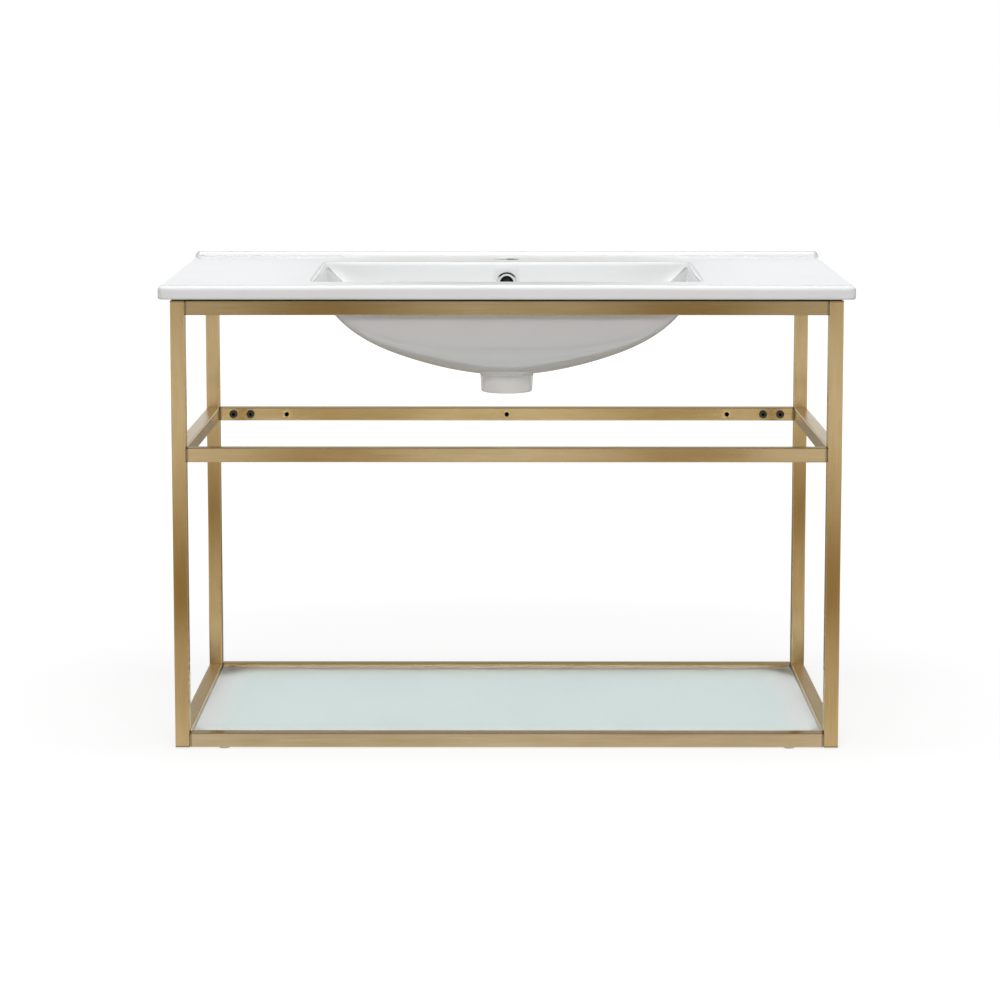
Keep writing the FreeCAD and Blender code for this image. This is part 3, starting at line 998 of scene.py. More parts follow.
        # A painted highlight on the spigot.
        painted_tones[-len(self.neck + self.spigot):] = self.spigot_painted_light
        # A painted highlight low on the ridge and painted shade on its crest.
        ridge = self.ridge_share(reach[deck])
        white, painted_shade = self.ridge_painted_tones
        crest = painted_shade * smooth_step(*self.ridge_top, ridge)
        painted_tones[deck] = white * smooth_step(*self.ridge_foot, ridge) - crest
        # A painted highlight on the rounded edge and painted shade where it turns over the back.
        rounded = slice(starts[2], starts[2] + self.round_steps)
        on_back = self.ridge_share(reach[rounded])
        edge = np.sin(2.0 * quarter(self.round_steps))[:, None] ** 4
        white, painted_shade = self.edge_painted_tones
        painted_tones[rounded] = white * edge * (1.0 - on_back) - painted_shade * on_back
        return painted_tones

    def bowl_halves(self, turn: Floats | float, inset: Floats | float) -> Rows:
        """Half the bowl's width, by the sine, and half its depth, by the cubed cosine."""
        half_depth = (self.bowl_half_depth - inset) * np.cbrt(1.0 - np.cos(turn) ** 3)
        return (self.bowl_half_width - inset) * np.sin(turn), half_depth

    def bowl(self, turn: Floats, inset: Floats | float, top_turn: float) -> Rows:
        """Rows of the bowl's curve: half an ellipse across, a cubed one from front to back.

        Half the width follows the sine of the turn and half the depth the cube root of one less the
        cosine's cube. The level falls with the cosine, and the ovals grow squarer as they rise.

        Args:
            turn: Angle of each row from the bowl's floor, as a column.
            inset: How far the rows lie inside the bowl's outside.
            top_turn: The turn at which the ovals are squarest.

        Returns:
            Reach and height of each row and column.
        """
        rise = (1.0 - np.cos(turn)) / (1.0 - math.cos(top_turn))
        power = self.floor_power + (self.rim_power - self.floor_power) * rise ** self.power_rise
        level = self.bowl_floor + self.bowl_arch - (self.bowl_arch - inset) * np.cos(turn)
        return self.oval(*self.bowl_halves(turn, inset), power), level + 0.0 * self.sine

    def rounds(self, circles: Sequence[Pair], level: float) -> Rows:
        """Rows that are plain circles of a radius, each at a height from a level."""
        radius, height = np.array(circles).T[..., None] + 0.0 * self.sine
        return radius, level + height

    def inside_rows(self) -> Rows:
        """Drain seat, bowl, flared rim and its rounded edge.

        Returns:
            Reach and height of each row and column.
        """
        drain = self.rounds(self.drain, self.bowl_floor + self.wall)
        arch = self.bowl_arch - self.wall
        top_turn = math.acos((self.bowl_floor + self.bowl_arch - self.flare_level) / arch)
        turns = np.linspace(self.inner_turn, top_turn, self.bowl_steps)[:, None]
        bowl = self.bowl(turns, self.wall, top_turn)
        share = np.linspace(0.0, 1.0, self.flare_steps)[1:, None]
        low_x, low_y = self.bowl_halves(top_turn, self.wall)
        flare = self.oval(low_x + (self.rim_half_width - low_x) * share,
                          low_y + (self.rim_half_depth - low_y) * share, self.rim_power)
        lip = self.height(flare[-1:]) - self.rim_round
        flare_height = self.flare_level + (lip - self.flare_level) * share
        bend = quarter(self.rim_steps)[1:, None]
        edge = flare[-1:] + self.rim_round * (1.0 - np.cos(bend))
        edge_height = self.height(edge) - self.rim_round * (1.0 - np.sin(bend))
        return joined(drain, bowl, (flare, flare_height), (edge, edge_height))

    def deck_rows(self, rim: Floats) -> Rows:
        """The deck from the rim's edge out to the start of the outer rounding.

        Args:
            rim: Reach of the rim's last row.

        Returns:
            Reach and height of each row and column.
        """
        near, start = self.deck_start
        share = np.append(near, np.linspace(start, 1.0, self.deck_steps))[:, None]
        wide = rim + (self.oblong(self.deck_border) - rim) * share
        reach = np.concatenate([wide, self.outlines(self.deck_insets)])
        return reach, self.height(reach)

    def edge_rows(self) -> Rows:
        """The rounded outer edge: a quarter circle, the upright face and a smaller quarter circle.

        Returns:
            Reach and height of each row and column.
        """
        bend = quarter(self.round_steps)
        low_bend = bend[::2]
        upper = self.outlines(self.top_round * (1.0 - np.sin(bend)))
        rim = self.height(upper[:1])
        upper_height = rim - self.top_round * (1.0 - np.cos(bend))[:, None]
        side_height = np.concatenate([
            rim - self.top_round - self.face_gap,
            np.full_like(rim, self.floor + self.low_round + self.face_gap)])
        lower = self.outlines(self.low_round * (1.0 - np.cos(low_bend)))
        lower_height = self.floor + self.low_round * (1.0 - np.sin(low_bend))[:, None] + 0.0 * self.sine
        side = self.outlines((0.0, 0.0))
        return joined((upper, upper_height), (side, side_height), (lower, lower_height))

    def duct_share(self, reach: Floats) -> Floats:
        """One on the overflow duct's strip behind the bowl and zero beside it, with soft sides."""
        beside = smooth_step(*self.duct_sides, np.abs(reach * self.cosine))
        return (1.0 - beside) * smooth_step(*self.duct_front, reach * self.sine)

    def outside_rows(self) -> Rows:
        """Underside of the deck, outside of the bowl with its duct, spigot and bore.

        Returns:
            Reach and height of each row and column.
        """
        root_level = self.floor - self.root_round
        top_turn = math.acos((self.bowl_floor + self.bowl_arch - root_level) / self.bowl_arch)
        turns = np.linspace(top_turn, self.outer_turn, self.outside_steps)[:, None]
        plain, _ = self.bowl(turns, 0.0, top_turn)
        bowl = self.bowl(turns, -self.duct * self.duct_share(plain), top_turn)
        bend = quarter(self.root_steps)[:-1, None]
        root = bowl[0][:1] + self.root_round * (1.0 - np.sin(bend))
        root_height = self.floor - self.root_round * (1.0 - np.cos(bend)) + 0.0 * self.sine
        near, start = self.under_start
        shares = np.linspace(start, 1.0 - start, self.deck_steps)
        share = np.concatenate([[near], shares, [1.0 - near]])[:, None]
        border = self.oblong(self.low_round)
        under = border + (root[:1] - border) * share
        neck, neck_height = self.rounds(self.neck, self.bowl_floor)
        neck_height = neck_height - self.duct * self.duct_share(neck)
        spigot = self.rounds(self.spigot, self.bowl_floor - self.spigot_length)
        flat = np.full_like(under, self.floor)
        return joined((under, flat), (root, root_height), bowl, (neck, neck_height), spigot)

    def build(self) -> Piece:
        """Puts all rows together, opens the tap and overflow holes, makes the piece and stores its
        painted light and shade.

        Returns:
            The new object.
        """
        inside = self.inside_rows()
        parts = (inside, self.deck_rows(inside[0][-1:]), self.edge_rows(), self.outside_rows())
        reach, level = joined(*parts)
        grid = np.stack([reach * self.cosine, self.middle + reach * self.sine, level], axis=-1)
        starts = np.cumsum([0] + [len(part[0]) for part in parts])
        draft = MeshDraft()
        draft.add(grid)
        blocks = [self.overflow_hole(draft, grid[:starts[1]]), *self.tap_hole(draft, grid, starts)]
        draft.quads(grid_quads(*reach.shape, True, blocks))
        piece = draft.piece("ceramic_top")
        # Painted light and shade for the glaze at each vertex; the holes' own vertices get none.
        painted_tones = np.zeros(len(piece.data.vertices))
        painted_tones[:reach.size] = self.painted_tones(reach, level, starts).reshape(-1)
        store(piece, PAINTED_LIGHT_NAME, painted_tones)
        return piece

    def back_columns(self, spread_angle: float) -> Pair:
        """First and last column within some degrees of straight back."""
        near = np.flatnonzero(self.from_back <= spread_angle)
        return near[0], near[-1]

    def overflow_hole(self, draft: MeshDraft, grid: Floats) -> Block:
        """Opens the bowl's back wall: a flat seat for the ring, then a blind round hole.

        Args:
            draft: The mesh to add rings to.
            grid: The bowl's own rows.

        Returns:
            The block of cells that the hole takes the place of.
        """
        wall = grid[:, np.argmin(self.from_back)]
        room = self.seat_radius + self.seat_room
        at_back = wall[:, Axis.Y] > self.middle + self.bowl_half_depth / 2
        row_start = np.flatnonzero((wall[:, Axis.Z] > OVERFLOW_LEVEL - room) & at_back)[0] - 1
        row_end = np.flatnonzero(wall[:, Axis.Z] > OVERFLOW_LEVEL + room)[0]
        block = Block(row_start, row_end, *self.back_columns(self.overflow_spread))
        ring, angles = block.border(grid, Axis.X, Axis.Z, (0.0, OVERFLOW_LEVEL))
        rings = [ring]
        wall = wall[row_start:row_end + 1]
        outer, bore = self.seat_radius, self.overflow_radius
        seat, end, free = OVERFLOW_SEAT, OVERFLOW_SEAT + self.overflow_depth, -math.inf
        steps = [(outer + lead, 0.0, free) for lead in self.seat_lead]
        steps += [(outer, self.seat_lift, seat - self.seat_lip), (outer, self.seat_lift, seat),
                  (bore, free, seat), (bore, free, end)]
        for radius, lift, depth in steps:
            level = OVERFLOW_LEVEL + radius * np.sin(angles)
            on_wall = np.minimum(np.interp(level, wall[:, Axis.Z], wall[:, Axis.Y]), seat)
            y = np.maximum(on_wall + lift, depth)
            rings.append(draft.add(np.stack([radius * np.cos(angles), y, level], axis=1)))
        draft.chain(rings)
        draft.cap(rings[-1], np.array([0.0, end, OVERFLOW_LEVEL]))
        return block

    def tap_hole(self, draft: MeshDraft, grid: Floats, starts: Numbers) -> tuple[Block, Block]:
        """Opens the deck behind the bowl: a rounded rim, a round wall and the underside.

        Args:
            draft: The mesh to add rings to.
            grid: All rows.
            starts: The first row of each part of the skin.

        Returns:
            The two blocks of cells, on the deck and under it.
        """
        columns = self.back_columns(self.tap_spread)
        room = self.tap_radius + self.tap_round + self.tap_room
        y = grid[:, np.argmin(self.from_back), Axis.Y]
        on_deck, under = np.arange(starts[1], starts[2]), np.arange(starts[3], len(grid))
        inner = on_deck[y[on_deck] < TAP_Y - room][-1]
        outer = on_deck[y[on_deck] > TAP_Y + room][0]
        low_outer = under[y[under] > TAP_Y + room][-1]
        top = Block(inner, outer, *columns)
        low = Block(low_outer, low_outer + outer - inner, *columns)
        ring, angles = top.border(grid, Axis.X, Axis.Y, (0.0, TAP_Y))
        low_ring, low_angles = low.border(grid, Axis.X, Axis.Y, (0.0, TAP_Y))
        bend = quarter(self.tap_steps)
        wider = np.append(self.tap_round + self.tap_flat, self.tap_round * (1.0 - np.sin(bend)))
        drops = np.append(0.0, self.tap_round * (1.0 - np.cos(bend)))
        rings = [ring]
        for radius, drop in zip(self.tap_radius + wider, drops):
            x, y = radius * np.cos(angles), TAP_Y + radius * np.sin(angles)
            rings.append(draft.add(np.stack([x, y, self.plane(x, y) - drop], axis=1)))
        turned = np.stack([np.cos(low_angles), np.sin(low_angles), 0.0 * low_angles], axis=1)
        for wide, lift in self.tap_foot:
            middle = np.array([0.0, TAP_Y, self.floor + lift])
            rings.append(draft.add((self.tap_radius + wide) * turned + middle))
        draft.chain([*rings, low_ring])
        return top, low


@dataclass
class OverflowRing:
    """The bright ring in the bowl's back wall, turned about the hole's axis."""

    flange_radius: float = 15.0
    hole_radius: float = 9.5
    hole_round: float = 0.4
    flange: float = 2.5
    sleeve_radius: float = 10.7
    sleeve: float = 8.0
    groove: Pair = (12.4, 14.5)
    groove_depth: float = 1.4
    groove_slope: float = 0.3
    lip_round: float = 0.45
    round_steps: int = 6
    steps: int = 64
    sharp: float = 40.0

    def build(self) -> Piece:
        """A closed profile carried round a circle, so that the ring has no poles.

        Returns:
            The new object.
        """
        bend = quarter(self.round_steps)
        sine, cosine = np.sin(bend), np.cos(bend)
        outer = np.stack([self.flange_radius + self.lip_round * (cosine - 1.0),
                          self.flange + self.lip_round * (sine - 1.0)], axis=1)
        inner = np.stack([self.hole_radius + self.hole_round * (1.0 - sine),
                          self.flange + self.hole_round * (cosine - 1.0)], axis=1)
        low, high = self.groove
        face, bottom = self.flange, self.flange - self.groove_depth
        groove = [(high, face), (high - self.groove_slope, bottom), (low, bottom), (low, face)]
        back = [(self.hole_radius, -self.sleeve), (self.sleeve_radius, -self.sleeve),
                (self.sleeve_radius, 0.0), (self.flange_radius, 0.0)]
        profile = np.concatenate([outer, groove, inner, back])
        rows = carried_round(profile[:, :1], -profile[:, 1:], self.steps, Axis.Y)
        draft = MeshDraft()
        draft.add(rows + np.array([0.0, OVERFLOW_SEAT, OVERFLOW_LEVEL]))
        draft.quads(grid_quads(*rows.shape[:2], True))
        return draft.piece("overflow_trim", sharp=self.sharp)


# Frame


@dataclass
class SquareTube:
    """One length of square tube with rounded corners, round holes and open ends.

    The section, eight columns on each flat side and nine on each corner's quarter circle, is carried
    along the tube's axis. Each hole takes the place of a block of cells.
    """

    node: str
    axis: Axis
    holes: Sequence[Hole] = ()
    pocket: float = 2.0
    wall: float = 1.5
    corner: float = 1.5
    row_gap: float = 24.0
    end_rows: tuple[float, ...] = (0.0, 0.5, 1.2, 2.5, 5.0)
    least_rows: int = 4
    corner_steps: int = 9
    side_steps: int = 10
    hole_steps: int = 7
    block_reach: float = 2.2
    block_room: float = 0.1
    side_room: float = 0.5
    hole_round: float = 0.3
    sharp: float = 50.0
    seed: int = 0
    seed_gap: float = 1000.0
    # Painted light and shade on this tube, as a scale of its colour.
    painted_tint: Triple = (1.0, 1.0, 1.0)

    def build(self) -> Piece:
        """Makes the tube in the place of its CAD node, with what its finish reads at each vertex.

        Returns:
            The new object.
        """
        low, high = cad_box(self.node)
        middle = (low + high) / 2
        start, end = low[self.axis], high[self.axis]
        half = (high - low)[self.axis.others()[0]] / 2
        section, around = self.section(half)
        inner, _ = self.section(half - self.wall)
        along = self.stations(end - start, start)
        grid = self.placed(middle, section, start + along[:, None])
        own = along[:, None] + self.seed_gap * self.seed
        uvs = np.stack(np.broadcast_arrays(around[:-1], own), axis=-1)
        draft = MeshDraft()
        numbers = draft.add(grid, uvs).reshape(grid.shape[:2])
        blocks = [self.open_hole(draft, grid, uvs, hole, half, middle) for hole in self.holes]
        draft.quads(grid_quads(*numbers.shape, False, blocks))
        for row, mouth, way in ((0, start, 1.0), (-1, end, -1.0)):
            rings = [draft.add(self.placed(middle, inner, mouth + way * depth), uvs[row])
                     for depth in (0.0, self.pocket)]
            draft.chain([numbers[row], *rings])
            pole = self.placed(middle, np.zeros((1, 2)), mouth + way * self.pocket)
            draft.cap(rings[-1], pole, uvs[row, 0])
        piece = draft.piece(self.node + "_tube", wrap=around[-1], sharp=self.sharp)
        places = np.zeros(len(piece.data.vertices) * 3)
        piece.data.vertices.foreach_get("co", places)
        from_start = places[self.axis::3] - start * MM
        gap = np.minimum(from_start, (end - start) * MM - from_start)
        store(piece, END_NAME, np.maximum(gap, 0.0))
        store(piece, PAINTED_TINT_NAME, np.tile(self.painted_tint, (len(gap), 1)))
        return piece

    def placed(self, middle: Floats, section: Floats, along: Floats | float) -> Floats:
        """A section set about the tube's middle, at places along its axis."""
        one, two = self.axis.others()
        return spread((one, two, self.axis), middle[one] + section[:, 0], middle[two] + section[:, 1],
                      along)

    def section(self, half: float) -> Rows:
        """The rounded square, from the middle of one corner round to it again.

        A corner's quarter circle and the side after it are worked out as complex numbers, and their
        products with the powers of i make the four quarters.

        Args:
            half: Half the square's width.

        Returns:
            Places of the columns, and the length round to each and back to the first.
        """
        flat = half - self.corner
        corner = flat * (1.0 + 1.0j) + self.corner * np.exp(1.0j * quarter(self.corner_steps))
        side = 1.0j * half - np.linspace(-flat, flat, self.side_steps)[1:-1]
        run = np.concatenate([corner, side])
        turned = np.concatenate([run * 1.0j ** turn for turn in range(4)])
        outline = np.roll(turned, -(self.corner_steps // 2))
        steps = np.abs(np.roll(outline, -1) - outline)
        return np.stack([outline.real, outline.imag], axis=1), np.append(0.0, np.cumsum(steps))

    def stations(self, length: float, start: float) -> Floats:
        """Places of the rows along the tube: close at the ends and at the holes.

        Args:
            length: The tube's length.
            start: Where the tube starts along its axis.

        Returns:
            The places, from zero to the length.
        """
        ends = np.array(self.end_rows)
        steps = np.linspace(-self.block_reach, self.block_reach, self.hole_steps)
        count = max(int(length / self.row_gap), self.least_rows)
        rows = [ends, length - ends, np.linspace(0.0, length, count)[1:-1]]
        rows += [place - start + steps * radius for _, _, place, radius in self.holes]
        merged = np.unique(np.round(np.concatenate(rows), 3))
        keep = np.ones(len(merged), bool)
        for _, _, place, radius in self.holes:
            offset = (merged - (place - start)) / radius
            on_step = np.min(np.abs(offset[:, None] - steps), axis=1) < NEAR
            keep &= (np.abs(offset) > self.block_reach + self.block_room) | on_step
        return merged[keep]

    def open_hole(self, draft: MeshDraft, grid: Floats, uvs: Floats, hole: Hole, half: float,
                  middle: Floats) -> Block:
        """Opens a round hole in one wall: a small rounded edge, the wall and a blind pocket.

        Args:
            draft: The mesh to add rings to.
            grid: The tube's rows and columns.
            uvs: Their surface places.
            hole: The wall's axis and side, the hole's place along the tube and its radius.
            half: Half the tube's width.
            middle: The tube's middle.

        Returns:
            The block of cells that the hole takes the place of.
        """
        facing, side, place, radius = hole
        other = next(axis for axis in facing.others() if axis is not self.axis)
        axes = (other, self.axis, facing)
        offset = grid[0, :, other] - middle[other]
        on_face = np.abs(grid[0, :, facing] - middle[facing] - side * half) < NEAR
        columns = np.flatnonzero(on_face & (np.abs(offset) < half - self.corner - self.side_room))
        away = np.abs(grid[:, 0, self.axis] - place)
        rows = np.flatnonzero(away <= self.block_reach * radius + NEAR)
        block = Block(rows[0], rows[-1], columns[0], columns[-1])
        ring, angles = block.border(grid, other, self.axis, (middle[other], place))
        mirrored = np.sign(offset[columns[-1]] - offset[columns[0]])
        centre = uvs.reshape(-1, 2)[ring].mean(axis=0)
        rings = [ring]
        cosine, sine = np.cos(angles), np.sin(angles)
        edge = self.hole_round
        for reach, depth in ((radius + edge, 0.0), (radius, edge), (radius, self.wall), (radius, half)):
            points = spread(axes, middle[other] + reach * cosine, place + reach * sine,
                            middle[facing] + side * (half - depth))
            rings.append(draft.add(points, centre + reach * np.stack([mirrored * cosine, sine], axis=1)))
        draft.chain(rings)
        draft.cap(rings[-1], spread(axes, middle[other], place, middle[facing]), centre)
        return block


@dataclass
class TubeFrame:
    """The gold frame: legs, side rails, cross rails, bolts, plates and pads."""

    gold: BrushedGold
    wall_holes: Triple = (-322.5, 0.0, 322.5)
    wall_hole_radius: float = 3.2
    leg_holes: Pair = (110.2, 464.2)
    leg_hole_radius: float = 2.5
    leg_pocket: float = 20.0
    rail_pocket: float = 62.0
    bolt_places: Pair = (400.5, 375.5)
    # Painted light and shade: the top front rail darker, as in shade under the basin top, the middle and
    # bottom rails lighter.
    painted_tints: dict[str, Triple] = field(default_factory=lambda: {
        "top_rail_front": (0.83, 0.85, 0.88), "middle_rail_front": (1.24, 1.33, 1.56),
        "middle_rail_back": (1.36, 1.44, 1.54), "bottom_rail_front": (1.02, 1.11, 1.40),
    })

    def tubes(self) -> list[SquareTube]:
        """Every length of tube with its holes.

        Returns:
            The tubes, ready to be built.
        """
        made: list[SquareTube] = []
        for depth in ("front", "back"):
            for side, inward in (("left", 1), ("right", -1)):
                holes = [(Axis.X, inward, level, self.leg_hole_radius) for level in self.leg_holes]
                made.append(SquareTube(f"leg_{depth}_{side}", Axis.Z, holes, self.leg_pocket))
        for height in ("bottom", "middle", "top"):
            made += [SquareTube(f"{height}_rail_{side}", Axis.Y) for side in ("left", "right")]
            made += [SquareTube(f"{height}_rail_{depth}", Axis.X, pocket=self.rail_pocket)
                     for depth in ("front", "back")]
        for number, tube in enumerate(made):
            tube.seed = number
            # Painted light and shade for the rails that have it.
            tube.painted_tint = self.painted_tints.get(tube.node, tube.painted_tint)
            if tube.node == "middle_rail_back":
                tube.holes = [(Axis.Y, way, place, self.wall_hole_radius)
                              for place in self.wall_holes for way in (-1, 1)]
        return made

    def build(self) -> None:
        """Makes all tubes and hands them over."""
        finish = self.gold.tube()
        for tube in self.tubes():
            hand_over(tube.build(), finish, tube.node)

    def bolts(self, finish: Material) -> None:
        """Makes the button-head bolts of the middle and top cross rails.

        Args:
            finish: The bolts' material.
        """
        for height in ("middle", "top"):
            for depth, facing in (("front", 1.0), ("back", -1.0)):
                node = f"{height}_bolts_{depth}"
                low, high = cad_box(f"{height}_rail_{depth}")
                seat = (high if facing > 0 else low)[Axis.Y]
                level = np.mean(cad_box(node), axis=0)[Axis.Z]
                middles = [np.array([way * x, seat, level]) for way in (-1, 1) for x in self.bolt_places]
                piece = ButtonBolt().build(node + "_heads", middles, facing)
                hand_over(piece, finish, node)

    def small_parts(self, finishes: dict[str, Material]) -> None:
        """Dresses the CAD nodes that keep their shape.

        Args:
            finishes: The start of a node's name to its material.
        """
        for name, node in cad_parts.items():
            for start, material in finishes.items():
                if name.startswith(start):
                    dress(node, material)
                    log.info("%s: dressed", name)


@dataclass
class ButtonBolt:
    """A button-head bolt: a domed head with a hexagon socket on a plain shank."""

    head_radius: float = 6.0
    head: float = 3.3
    head_edge: float = 0.8
    crown_radius: float = 3.0
    socket: float = 4.0
    socket_depth: float = 2.0
    socket_edge: float = 0.25
    shank_radius: float = 3.0
    shank: float = 12.0
    dome_steps: int = 9
    steps: int = 48
    sharp: float = 35.0

    def build(self, name: str, middles: Sequence[Floats], facing: float) -> Piece:
        """Carries the bolt's profile round its axis; the socket's rings follow a hexagon.

        A hexagon's reach is half its width across flats over the cosine of the angle to the nearest
        flat's middle. The socket's wall and floor are stored for painted shade.

        Args:
            name: The piece's name.
            middles: The middle of each bolt's seat.
            facing: One where the heads face +Y, minus one where they face -Y.

        Returns:
            The new object.
        """
        from_flat = np.mod(circle(self.steps) + math.pi / 6, math.pi / 3) - math.pi / 6
        hexagon = self.socket / 2 / np.cos(from_flat)
        bend = quarter(self.dome_steps)
        dome = zip(self.crown_radius + (self.head_radius - self.crown_radius) * np.cos(bend),
                   self.head_edge + (self.head - self.head_edge) * np.sin(bend))
        rows = [(self.shank_radius, -self.shank), (self.shank_radius, 0.0), (self.head_radius, 0.0),
                *dome, (hexagon + self.socket_edge, self.head), (hexagon, self.head - self.socket_edge),
                (hexagon, self.head - self.socket_depth)]
        reach = np.stack([row[0] + 0.0 * hexagon for row in rows])
        height = facing * np.array([row[1] for row in rows])[:, None]
        turned = carried_round(reach, height, self.steps, Axis.Y)
        piece = closed_copies(name, turned, middles, self.sharp)
        # Painted shade in the socket: its wall and floor, not the far end of the shank.
        painted_recess_shade = np.zeros((len(middles), reach.size + 2))
        painted_recess_shade[:, -2 - 2 * self.steps:] = 1.0
        painted_recess_shade[:, -2] = 0.0
        store(piece, RECESS_SHADE_NAME, painted_recess_shade.reshape(-1))
        return piece


@dataclass
class Bumpers:
    """The clear domed bumpers under the bottom rails."""

    places: Pair = (-375.5, 375.5)
    rows: Pair = (-209.0, 223.0)
    radius: float = 8.5
    flat_radius: float = 6.0
    height: float = 2.2
    dome_share: float = 0.9
    dome_steps: int = 7
    steps: int = 40
    sharp: float = 50.0

    def build(self) -> Piece:
        """Turns the low dome's profile about each bumper's axis.

        Returns:
            The new object.
        """
        bend = quarter(self.dome_steps)
        reach = np.append(self.flat_radius + (self.radius - self.flat_radius) * np.sin(bend), self.radius)
        level = self.height * np.append(self.dome_share * (1.0 - np.cos(bend)), 1.0)
        rows = carried_round(reach[:, None], level[:, None], self.steps, Axis.Z)
        middles = [np.array([x, y, 0.0]) for y in self.rows for x in self.places]
        return closed_copies("bumper_domes", rows, middles, self.sharp)


# Studio


@dataclass(frozen=True)
class Lamp:
    """A rectangular soft lamp that gloss does not see; gloss sees the surroundings instead."""

    name: str
    place: Triple
    aim: Triple
    size: Pair
    power: float

    def build(self) -> None:
        """Hangs the lamp at its place, turned to the point that it faces."""
        data = bpy.data.lights.new(self.name, "AREA")
        data.shape = "RECTANGLE"
        data.size, data.size_y = self.size
        data.energy = self.power
        lamp = linked(self.name, data)
        lamp.location = self.place
        way = Vector(self.aim) - Vector(self.place)
        lamp.rotation_euler = way.to_track_quat("-Z", "Y").to_euler()
        lamp.visible_camera = False
        lamp.visible_glossy = False


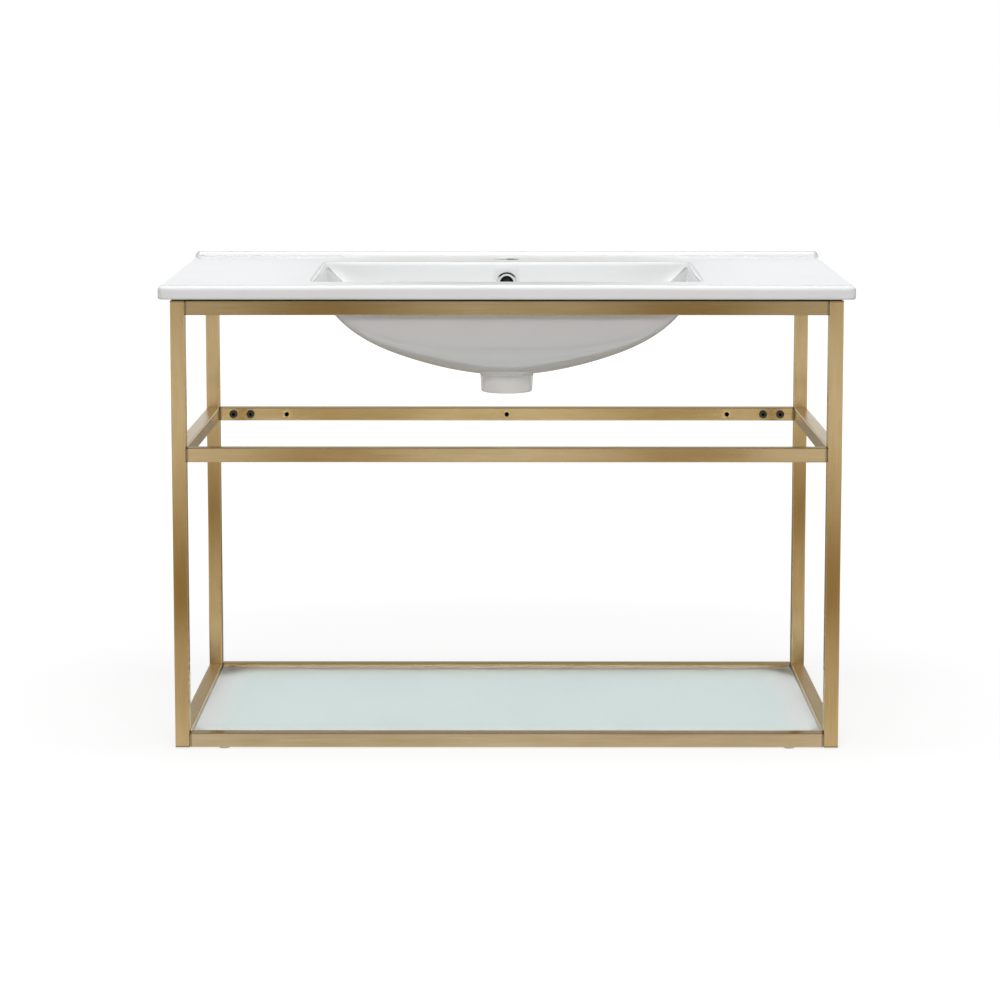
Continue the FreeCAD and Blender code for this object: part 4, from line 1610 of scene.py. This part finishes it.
@dataclass
class Studio:
    """White floor and surroundings, soft lamps and the camera. Angles are from straight ahead."""

    camera_place: Triple = (0.0, -3.8565, 0.9072)
    pitch: float = 6.49
    yaw: float = 0.139
    lens: float = 100.76
    sensor: float = 36.0
    shift: float = -0.12
    ambient: float = 0.27
    brown: Colour = colour(0.30, 0.19, 0.04)
    cool: Colour = colour(0.965, 0.985, 1.0)
    warm: Colour = colour(1.0, 0.97, 0.88)
    warm_reach: float = 3.0
    room: float = 0.65
    canopy: Colour = colour(0.46, 0.43, 0.36)
    overhead: Colour = colour(0.36, 0.31, 0.24)
    back_floor: Colour = colour(0.30, 0.26, 0.20)
    beside: float = 0.40
    behind: Pair = (1.0, 0.55)
    flag_inside: Pair = (0.020, 0.062)
    flag_outside: Pair = (0.076, 0.100)
    flag_shade: float = 0.12
    front_angles: Pair = (0.7, 1.2)
    canopy_angles: Pair = (0.8, 1.8)
    back_angles: Pair = (2.2, 2.7)
    dip_angles: Pair = (3.045, 3.135)
    wall_top: Pair = (0.112, 0.16)
    ceiling: Pair = (0.42, 0.62)
    frame_front: float = -0.22
    mirrored_camera: float = 3.42
    strips_fade: Pair = (0.15, 2.2)
    strips_share: float = 0.92
    behind_front: Pair = (-0.35, -0.05)
    behind_sides: Pair = (0.8, 1.4)
    floor_glow: float = 1.12
    glass_glow: float = 1.30
    bounced_glow: float = 0.65
    floor_white: Colour = grey(0.92)
    floor_bounce: Colour = colour(0.47, 0.445, 0.43)
    shadow_reach: Pair = (0.5, 1.7)
    shadow_share: float = 0.28
    floor_edge: float = 30.0
    band_reach: float = 10.0
    bands: tuple[Pair, ...] = (
        (0.05, 0.74), (0.28, 0.57), (0.63, 0.46), (1.03, 0.12), (1.5, 0.26), (2.1, 0.68),
        (2.7, 0.88), (3.4, 1.0), (4.3, 1.0), (5.2, 0.88), (6.4, 0.62), (9.0, 0.35))
    lamps: tuple[Lamp, ...] = (
        Lamp("key_softbox", (0.0, -2.2, 3.2), (0.0, 0.0, 0.45), (1.8, 0.8), 29.0),
        Lamp("front_softbox", (0.0, -3.6, 1.55), (0.0, 0.0, 0.5), (1.6, 0.5), 26.0),
        Lamp("top_softbox", (0.0, -0.1, 2.6), (0.0, 0.0, 0.6), (1.6, 0.6), 22.0),
        Lamp("left_softbox", (-2.2, -2.0, 0.5), (0.0, 0.0, 0.4), (1.0, 0.8), 6.0),
        Lamp("right_softbox", (2.2, -2.0, 0.5), (0.0, 0.0, 0.4), (1.0, 0.8), 6.0))

    def browned(self, place: float, share: float) -> Colour:
        """A floor band's colour: the flags' brown at share zero, white at one, warm near the unit."""
        pale = self.warm if place < self.warm_reach else grey(1.0)
        return colour(*(low + (high - low) * share for low, high in zip(self.brown[:3], pale)))

    def flags(self, bench: Bench, turn: Socket) -> Socket:
        """How much light two dark flags beside the camera let through, one where there is none."""
        outside = bench.ranged(turn, *self.flag_outside, self.flag_shade, 1.0)
        return bench.calc("MAXIMUM", outside, bench.ranged(turn, *self.flag_inside, 1.0, self.flag_shade))

    def surroundings(self) -> None:
        """A white world with gentler, even light; gloss sees the studio's walls and flags in it.

        Low walls stand in front and behind: the front one is bright between its flags and the back
        one has a soft dip straight behind. A brown canopy hangs over the back one, and the ceiling
        is dark.
        """
        bench = Bench(bpy.data.worlds.new("studio_world"))
        x, y, z = bench.parts(bench.add("TexCoord").outputs["Generated"])
        turn = bench.turn(x, bench.times(y, -1.0))
        front = bench.mix(bench.times(self.flags(bench, turn), self.room), self.brown, grey(1.0))
        back = bench.mix(bench.ranged(turn, *self.dip_angles, *self.behind), grey(0.0), self.cool)
        wall = bench.blend(turn, self.back_angles, grey(self.beside), back)
        wall = bench.blend(turn, self.front_angles, front, wall)
        over = bench.blend(turn, self.canopy_angles, front, self.canopy)
        mirrored = bench.blend(z, self.wall_top, wall, over)
        mirrored = bench.blend(z, self.ceiling, mirrored, self.overhead)
        soft = bench.light("Background", grey(1.0), self.ambient)
        white = bench.light("Background", bench.mix(bench.reflected(), grey(1.0), mirrored))
        bench.add("OutputWorld", {"Surface": bench.either(bench.shown(), soft, white)})
        bpy.context.scene.world = bench.owner

    def floor(self) -> None:
        """A wide white floor that keeps a light shadow; gloss sees brown bands in front of the unit.

        The bands follow the distance from the frame's front, and the flags' strips run over the
        floor away from the camera's mirror image.
        """
        bench = Bench.named("studio_floor")
        spot = bench.place()
        x, y, _ = bench.parts(spot)
        ahead = bench.calc("SUBTRACT", self.frame_front, y)
        stops = [(place / self.band_reach, self.browned(place, share)) for place, share in self.bands]
        banded = bench.ramp(bench.calc("DIVIDE", ahead, self.band_reach), stops)
        turn = bench.turn(x, bench.calc("SUBTRACT", self.mirrored_camera, y))
        faded = bench.ranged(ahead, *self.strips_fade, self.strips_share, 0.0)
        clear = bench.calc("MAXIMUM", self.flags(bench, turn), faded)
        banded = bench.mix(clear, self.brown, banded)
        behind = bench.blend(bench.calc("ABSOLUTE", x), self.behind_sides, self.back_floor, grey(1.0))
        mirrored = bench.light("Emission", bench.blend(ahead, self.behind_front, behind, banded))
        path = bench.add("LightPath").outputs
        direct = path["Is Camera Ray"]
        strength = bench.times(bench.ranged(direct, 0.0, 1.0, self.glass_glow, self.floor_glow),
                               bench.ranged(path["Diffuse Depth"], 0.0, 1.0, 1.0, self.bounced_glow))
        reach = bench.add("VectorMath", {0: spot}, operation="LENGTH").outputs["Value"]
        shadow = bench.ranged(reach, *self.shadow_reach, self.shadow_share, 0.0)
        glow = bench.light("Emission", grey(1.0), strength)
        plain = bench.either(bench.times(shadow, direct), glow, bench.matt(self.floor_white))
        visible = bench.either(bench.reflected(), plain, mirrored)
        both = bench.either(bench.shown(), bench.matt(self.floor_bounce), visible)
        mesh = bpy.data.meshes.new("studio_floor")
        corners = [(sx * self.floor_edge, sy * self.floor_edge, 0.0)
                   for sx, sy in ((-1, -1), (1, -1), (1, 1), (-1, 1))]
        mesh.from_pydata(corners, [], [(0, 1, 2, 3)])
        plane = linked("studio_floor", mesh)
        dress(plane, bench.finish(both))

    def camera(self) -> None:
        """The camera at the photograph's viewing angle."""
        data = bpy.data.cameras.new("camera")
        data.sensor_width = self.sensor
        data.sensor_fit = "HORIZONTAL"
        data.lens = self.lens
        data.shift_y = self.shift
        camera = linked("camera", data)
        camera.location = self.camera_place
        camera.rotation_euler = (math.radians(90.0 - self.pitch), 0.0, math.radians(self.yaw))
        bpy.context.scene.camera = camera

    def build(self) -> None:
        """Sets up everything round the object."""
        bpy.context.scene.view_settings.view_transform = "Standard"
        self.surroundings()
        self.floor()
        for lamp in self.lamps:
            lamp.build()
        self.camera()


def main() -> None:
    """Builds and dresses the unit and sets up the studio."""
    logging.basicConfig(level=logging.INFO, format="%(name)s: %(message)s")
    gold = BrushedGold()
    zinc = Grained("zinc_steel", colour(0.46, 0.45, 0.43), colour(0.34, 0.33, 0.31), (0.38, 0.46),
                   even(260.0), (0.4, 0.75), (0.35, 0.75), detail=4.0, depth=0.0, metallic=1.0)
    moulded = Grained("moulded_black", grey(0.03), grey(0.05), (0.55, 0.67), even(700.0))
    # Near-black strips in the gap under the basin top, which keep the gap dark.
    gap_black = Grained("near_black_gap_strips", grey(0.014), grey(0.03), (0.85, 0.97), even(1600.0))
    oxide = Grained("black_oxide", colour(0.07, 0.07, 0.072), colour(0.12, 0.117, 0.113), (0.22, 0.34),
                    even(900.0), metallic=1.0)
    pad = Grained("clear_pad", colour(0.86, 0.88, 0.88), colour(0.80, 0.83, 0.83), (0.16, 0.28),
                  even(500.0), transmission=0.7)
    black, clear = oxide.material(), pad.material()

    hand_over(CeramicTop().build(), GlazedCeramic().material(), "basin_top")
    hand_over(OverflowRing().build(), RingChrome().material(), "overflow_ring")
    tubes = TubeFrame(gold)
    tubes.build()
    tubes.bolts(black)
    tubes.small_parts({
        "rail_tongues": zinc.material(), "bottom_bolts": black, "leg_plugs": moulded.material(),
        "shelf_gussets": gold.plate(), "shelf_pads": clear, "sink_strips": gap_black.material(),
        "glass_shelf": FrostedGlass().material(),
    })
    hand_over(Bumpers().build(), clear, "bumpers")

    Studio().build()


if __name__ == "__main__":
    main()
